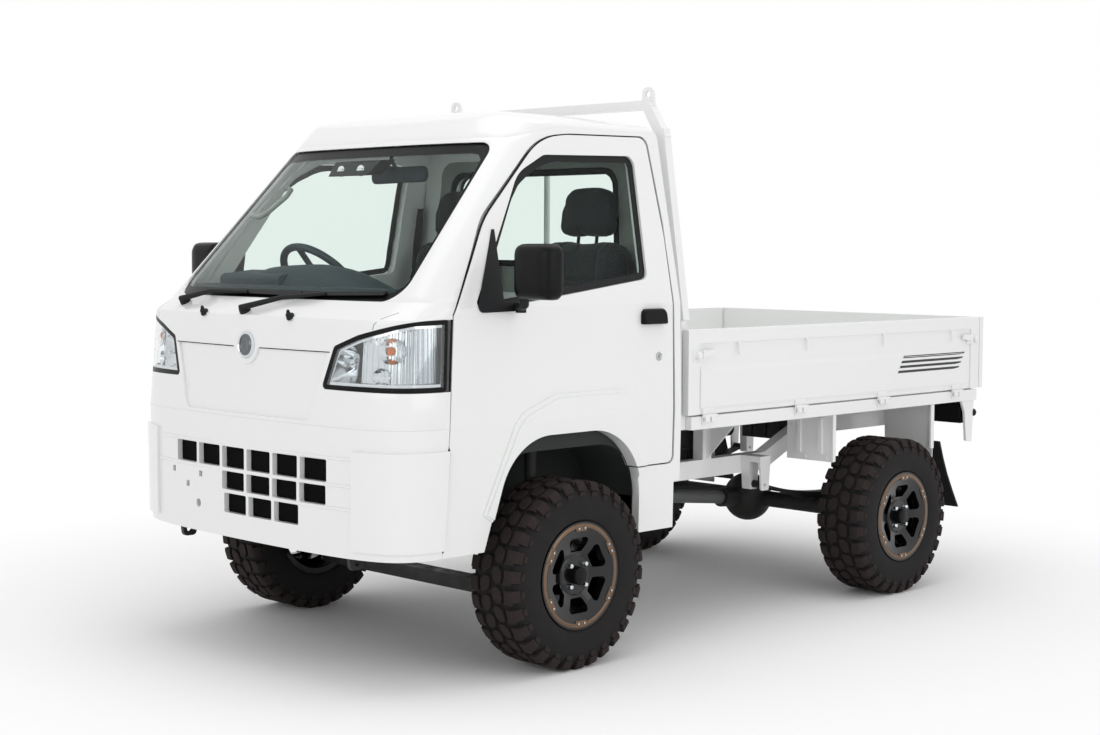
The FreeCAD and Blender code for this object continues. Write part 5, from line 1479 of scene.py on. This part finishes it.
def seat_parts():
    """Base, back and head rest of the left seat, stuffed and sewn."""
    y = SEAT_MIDDLE
    base = rounded([(432, y - 222, 45), (846, y - 218, 60), (846, y + 218, 60), (432, y + 222, 45)])
    layers = ((812, -14), (822, 0), (885, 0), (905, -8), (914, -26))
    mesh = stuffed("seat_cushion", seat_shape(base, layers, lambda a, b, height: (a, b, height)), 16.0)
    sewn(mesh, seat_lines(118, 0, (640, 760), lambda p: p.z > CUSHION_TOP), 6.0, 6.0)
    yield "seat_cushion", mesh, 0.7
    back = rounded([(y - 205, 0, 40), (y + 205, 0, 40), (y + 218, 350, 90), (y + 208, 538, 80),
                    (y - 208, 538, 80), (y - 218, 350, 90)])
    layers = ((-42, -26), (-34, -6), (-20, 0), (30, 0), (48, -10), (56, -28))
    mesh = stuffed("seat_back", seat_shape(back, layers, tilted), 16.0)
    in_front = lambda p: p.x > BACK_X - (p.z - BACK_Z) * math.tan(SEAT_LEAN)
    sewn(mesh, seat_lines(112, 2, (1130, 1290), in_front), 6.0, 6.0)
    yield "seat_back", mesh, 0.7
    head = rounded([(y - 124, 552, 40), (y + 124, 552, 40), (y + 126, 640, 60), (y + 104, 728, 60),
                    (y - 104, 728, 60), (y - 126, 640, 60)])
    layers = ((-26, -22), (-18, -4), (-8, 0), (26, 0), (38, -8), (44, -24))
    mesh = stuffed("head_rest", seat_shape(head, layers, tilted), 10.0)
    sewn(mesh, seat_lines(92, 2, (), lambda p: True), 3.0, 5.0)
    yield "head_rest", mesh, 0.8


def make_seats():
    """Both seats: padded base, back and head rest, head rest posts and the black seat frames."""
    for label, mesh, fill in seat_parts():
        for name, sign in SIDES:
            copy = mesh.copy()
            if sign < 0:
                copy.transform(MIRROR)
                copy.flip_normals()
            copy.name = label + "_" + name
            made = piece(label + "_" + name, copy, "cloth", "chassis", sharp=80)
            if label == "seat_cushion" and sign > 0:
                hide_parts("seats")
    for name, sign in SIDES:
        posts = Form()
        for offset in (-46, 46):
            posts.join(Form().tube([tilted(sign * SEAT_MIDDLE + offset, b, 6) for b in (500, 580)], 6.5, 14))
        piece("head_rest_posts_" + name, posts, "gloss_trim", "chassis")
        low, high = sorted((sign * 140, sign * 560))
        trim = Form().prism([(400, 806), (850, 806), (850, 822), (420, 826)], "XZ", low, high)
        cheek = rounded([(400, 826, 8), (520, 826, 30), (508, 930, 20), (440, 960, 20)])
        for y in (low + 6, high - 6):
            trim.join(Form().prism(cheek, "XZ", y - 8, y + 8))
        piece("seat_frame_" + name, trim, "trim", "chassis", bevel=2.0)


# Frame nodes

NODE_FINISH = {
    # The black enamel on the cross members is painted shade: they lie in shade under the truck.
    "chassis": ("cross_members", "front_suspension", "rear_axle", "fuel_tank"),
    "spring": ("leaf_springs",),
    "exhaust": ("exhaust",),
    "iron": ("knuckle_left", "knuckle_right"),
    "alloy": ("drive_line",),
    "glass": ("cab_glass", "door_glass_left", "door_glass_right"),
    "gloss_trim": ("tail_lamps",),
    "mat": ("cab_floor",),
    "dash": ("dashboard", "steering_wheel"),
    "trim": ("door_fittings_left", "door_fittings_right"),
    "lens": ("headlamps",),
    "cloth": ("seats",),
    "wheel": tuple("wheel_%s_%s" % (end, name) for end, _ in AXLES for name, _ in SIDES),
    "rubber": tuple("tyre_%s_%s" % (end, name) for end, _ in AXLES for name, _ in SIDES),
}
EDGED = ("roof_panel", "front_panel", "cab_back_panel", "side_frame_left", "side_frame_right",
         "door_left", "door_right", "side_gate_left", "side_gate_right", "tailgate", "headboard", "load_bed")


NODE_ROUNDING = 2.5


def dress_nodes():
    """Gives every frame node its finish, enamel where the list names no other, and rounds the panels."""
    finished = {node: key for key, nodes in NODE_FINISH.items() for node in nodes}
    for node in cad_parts:
        dress(node, finished.get(node, "paint"))
    for node in EDGED:
        round_edges(node, NODE_ROUNDING)


# Stage: the camera in degrees and metres, the lamps in metres and watts

CAMERA_PLACE = (5.1222, 4.8495, 1.413)
CAMERA_YAW, CAMERA_PITCH, CAMERA_ROLL = 224.89, -3.93, 0.3
CAMERA_LENS = 57.93
LAMPS = (("top", (0.3, 0.5, 5.5), 5.0, 66.0), ("front", (5.5, 1.0, 2.6), 3.5, 30.0),
         ("side", (0.5, 5.5, 2.6), 4.5, 45.0))
LAMPS_AIM = Vector((0.0, 0.0, 0.8))
FLOOR_REACH = 30.0
FADE_FROM, FADE_TO = 1.2, 3.4


def make_camera():
    """The camera of the photograph, solved from the truck's own corners."""
    yaw, pitch, roll = (math.radians(angle) for angle in (CAMERA_YAW, CAMERA_PITCH, CAMERA_ROLL))
    ahead = Vector((math.cos(pitch) * math.cos(yaw), math.cos(pitch) * math.sin(yaw), math.sin(pitch)))
    right = ahead.cross(Vector(UP)).normalized()
    up = right.cross(ahead)
    turned_right = right * math.cos(roll) + up * math.sin(roll)
    turned_up = up * math.cos(roll) - right * math.sin(roll)
    camera = bpy.data.objects.new("photo_camera", bpy.data.cameras.new("photo_camera"))
    camera.data.sensor_width = 36.0
    camera.data.lens = CAMERA_LENS
    camera.data.clip_end = 200.0
    turn = Matrix((turned_right, turned_up, -ahead)).transposed().to_4x4()
    camera.matrix_world = Matrix.Translation(CAMERA_PLACE) @ turn
    bpy.context.scene.collection.objects.link(camera)
    bpy.context.scene.camera = camera


def make_lights(looks):
    """Large soft lights, and a plain surround that lights the truck as grey and is seen as white."""
    for name, place, size, power in LAMPS:
        light = bpy.data.lights.new(name + "_light", "AREA")
        light.shape, light.size, light.size_y, light.energy = "RECTANGLE", size, size * 0.7, power
        item = bpy.data.objects.new(name + "_light", light)
        way = LAMPS_AIM - Vector(place)
        item.matrix_world = Matrix.Translation(place) @ way.to_track_quat("-Z", "Y").to_matrix().to_4x4()
        bpy.context.scene.collection.objects.link(item)
    world = bpy.data.worlds.new("plain_surround")
    bpy.context.scene.world = world
    world.use_nodes = True
    tree = world.node_tree
    tree.nodes.clear()
    dull = add_node(tree, "ShaderNodeBackground", {"Color": linear("#ffffff"), "Strength": looks.surround})
    white = add_node(tree, "ShaderNodeBackground", {"Color": linear("#ffffff"), "Strength": 1.0})
    mix = add_node(tree, "ShaderNodeMixShader", {0: seen_directly(tree), 1: dull.outputs[0],
                                                2: white.outputs[0]})
    add_node(tree, "ShaderNodeOutputWorld", {"Surface": mix.outputs[0]})


def studio_floor():
    # White matt studio floor that takes a soft shadow near the truck and fades to plain white
    # away from it, so that no horizon shows.
    material, tree, shader = finish("white_studio_floor", "#ffffff", 0.9)
    away = add_node(tree, "ShaderNodeVectorMath", {0: object_place(tree)}, operation="LENGTH")
    fade = add_node(tree, "ShaderNodeMapRange", {"Value": away.outputs["Value"], "From Min": FADE_FROM,
                                                 "From Max": FADE_TO}, interpolation_type="SMOOTHSTEP")
    part = add_node(tree, "ShaderNodeMath", {0: seen_directly(tree), 1: fade.outputs["Result"]},
                    operation="MULTIPLY")
    white = add_node(tree, "ShaderNodeEmission", {"Color": linear("#ffffff"), "Strength": 1.0})
    mix = add_node(tree, "ShaderNodeMixShader", {0: part.outputs[0], 1: shader.outputs["BSDF"],
                                                2: white.outputs["Emission"]})
    tree.links.new(mix.outputs["Shader"], tree.nodes["Material Output"].inputs["Surface"])
    return material


def make_floor():
    """The floor that the truck stands on."""
    mesh = bpy.data.meshes.new("studio_floor")
    corners = ((-1, -1), (1, -1), (1, 1), (-1, 1))
    mesh.from_pydata([(a * FLOOR_REACH, b * FLOOR_REACH, 0) for a, b in corners], [], [(0, 1, 2, 3)])
    mesh.materials.append(studio_floor())
    on_its_own(mesh, "studio_floor")


# The add-on's settings, operators and panel

class TruckLooks(bpy.types.PropertyGroup):
    """Colours and light levels that a user may change."""

    paint_colour: bpy.props.StringProperty(name="Body colour", description="Hex colour of the body enamel",
                                           default="#eff0ef")
    dash_colour: bpy.props.StringProperty(name="Dash colour", description="Hex colour of the dash moulding",
                                          default="#243238")
    surround: bpy.props.FloatProperty(name="Surround", description="Strength of the grey surround's light",
                                      default=0.67, min=0.0, max=2.0)


class TRUCK_OT_finishes(bpy.types.Operator):
    """Make the finishes and give the frame nodes theirs"""
    bl_idname = "truck.finishes"
    bl_label = "Finishes"

    def execute(self, context):
        materials.update(build_materials(context.scene.truck_looks))
        dress_nodes()
        return {"FINISHED"}


class TRUCK_OT_tyres(bpy.types.Operator):
    """Make the tyres with their tread"""
    bl_idname = "truck.tyres"
    bl_label = "Tyres"

    def execute(self, context):
        make_tyres()
        return {"FINISHED"}


class TRUCK_OT_wheels(bpy.types.Operator):
    """Make the rings, nuts and caps of the wheels"""
    bl_idname = "truck.wheels"
    bl_label = "Wheel fittings"

    def execute(self, context):
        make_wheel_fittings()
        return {"FINISHED"}


class TRUCK_OT_glass(bpy.types.Operator):
    """Make the border of the windscreen and the window rubbers"""
    bl_idname = "truck.glass"
    bl_label = "Glass trim"

    def execute(self, context):
        make_glass_trim()
        make_rear_window_trim()
        make_door_seals()
        return {"FINISHED"}


class TRUCK_OT_lamps(bpy.types.Operator):
    """Make the headlamps"""
    bl_idname = "truck.lamps"
    bl_label = "Headlamps"

    def execute(self, context):
        make_headlamps()
        return {"FINISHED"}


class TRUCK_OT_nose(bpy.types.Operator):
    """Make the badge, the washer nozzles and the fittings of the bumper"""
    bl_idname = "truck.nose"
    bl_label = "Nose"

    def execute(self, context):
        make_badge_and_nozzles()
        make_bumper_fittings()
        return {"FINISHED"}


class TRUCK_OT_wipers(bpy.types.Operator):
    """Make the wipers"""
    bl_idname = "truck.wipers"
    bl_label = "Wipers"

    def execute(self, context):
        make_wipers()
        return {"FINISHED"}


class TRUCK_OT_door_fittings(bpy.types.Operator):
    """Make the mirrors, handles and locks of the doors"""
    bl_idname = "truck.door_fittings"
    bl_label = "Door fittings"

    def execute(self, context):
        for name, sign in SIDES:
            make_mirror(name, sign)
            make_handle_and_lock(name, sign)
        return {"FINISHED"}


class TRUCK_OT_cab_fittings(bpy.types.Operator):
    """Make what shows inside the cab"""
    bl_idname = "truck.cab_fittings"
    bl_label = "Cab fittings"

    def execute(self, context):
        make_dash_hump()
        make_door_trims()
        make_gear_lever()
        make_camera_housing()
        make_inside_mirror()
        make_grab_handle_and_belts()
        return {"FINISHED"}


class TRUCK_OT_arches(bpy.types.Operator):
    """Make the liners of the front wheel arches"""
    bl_idname = "truck.arches"
    bl_label = "Arch liners"

    def execute(self, context):
        make_arch_liners()
        return {"FINISHED"}


class TRUCK_OT_bed(bpy.types.Operator):
    """Make the fittings of the load bed and what is under it"""
    bl_idname = "truck.bed"
    bl_label = "Bed fittings"

    def execute(self, context):
        for name, sign in SIDES:
            make_gate_fittings(name, sign)
            make_bed_ends(name, sign)
            make_tail_lamp(name, sign)
        make_under_bed()
        return {"FINISHED"}


class TRUCK_OT_seats(bpy.types.Operator):
    """Make the padded seats"""
    bl_idname = "truck.seats"
    bl_label = "Seats"

    def execute(self, context):
        make_seats()
        return {"FINISHED"}


class TRUCK_OT_stage(bpy.types.Operator):
    """Make the camera, the lights and the floor"""
    bl_idname = "truck.stage"
    bl_label = "Stage"

    def execute(self, context):
        make_camera()
        make_lights(context.scene.truck_looks)
        make_floor()
        context.scene.view_settings.view_transform = "Standard"
        return {"FINISHED"}


OPERATORS = (TRUCK_OT_finishes, TRUCK_OT_tyres, TRUCK_OT_wheels, TRUCK_OT_glass, TRUCK_OT_lamps,
             TRUCK_OT_nose, TRUCK_OT_wipers, TRUCK_OT_door_fittings, TRUCK_OT_cab_fittings, TRUCK_OT_arches,
             TRUCK_OT_bed, TRUCK_OT_seats, TRUCK_OT_stage)


class TRUCK_PT_looks(bpy.types.Panel):
    """The truck's looks and pieces"""
    bl_idname = "TRUCK_PT_looks"
    bl_label = "Truck"
    bl_space_type = "VIEW_3D"
    bl_region_type = "UI"
    bl_category = "Truck"

    def draw(self, context):
        for name in ("paint_colour", "dash_colour", "surround"):
            self.layout.prop(context.scene.truck_looks, name)
        for operator in OPERATORS:
            self.layout.operator(operator.bl_idname)


CLASSES = (TruckLooks,) + OPERATORS + (TRUCK_PT_looks,)


def register():
    """Makes the classes and the scene's settings known to Blender."""
    for item in CLASSES:
        bpy.utils.register_class(item)
    bpy.types.Scene.truck_looks = bpy.props.PointerProperty(type=TruckLooks)


def unregister():
    """Takes them out again."""
    del bpy.types.Scene.truck_looks
    for item in reversed(CLASSES):
        bpy.utils.unregister_class(item)


def main():
    register()
    for operator in OPERATORS:
        group, name = operator.bl_idname.split(".")
        getattr(getattr(bpy.ops, group), name)()


if __name__ == "__main__":
    main()
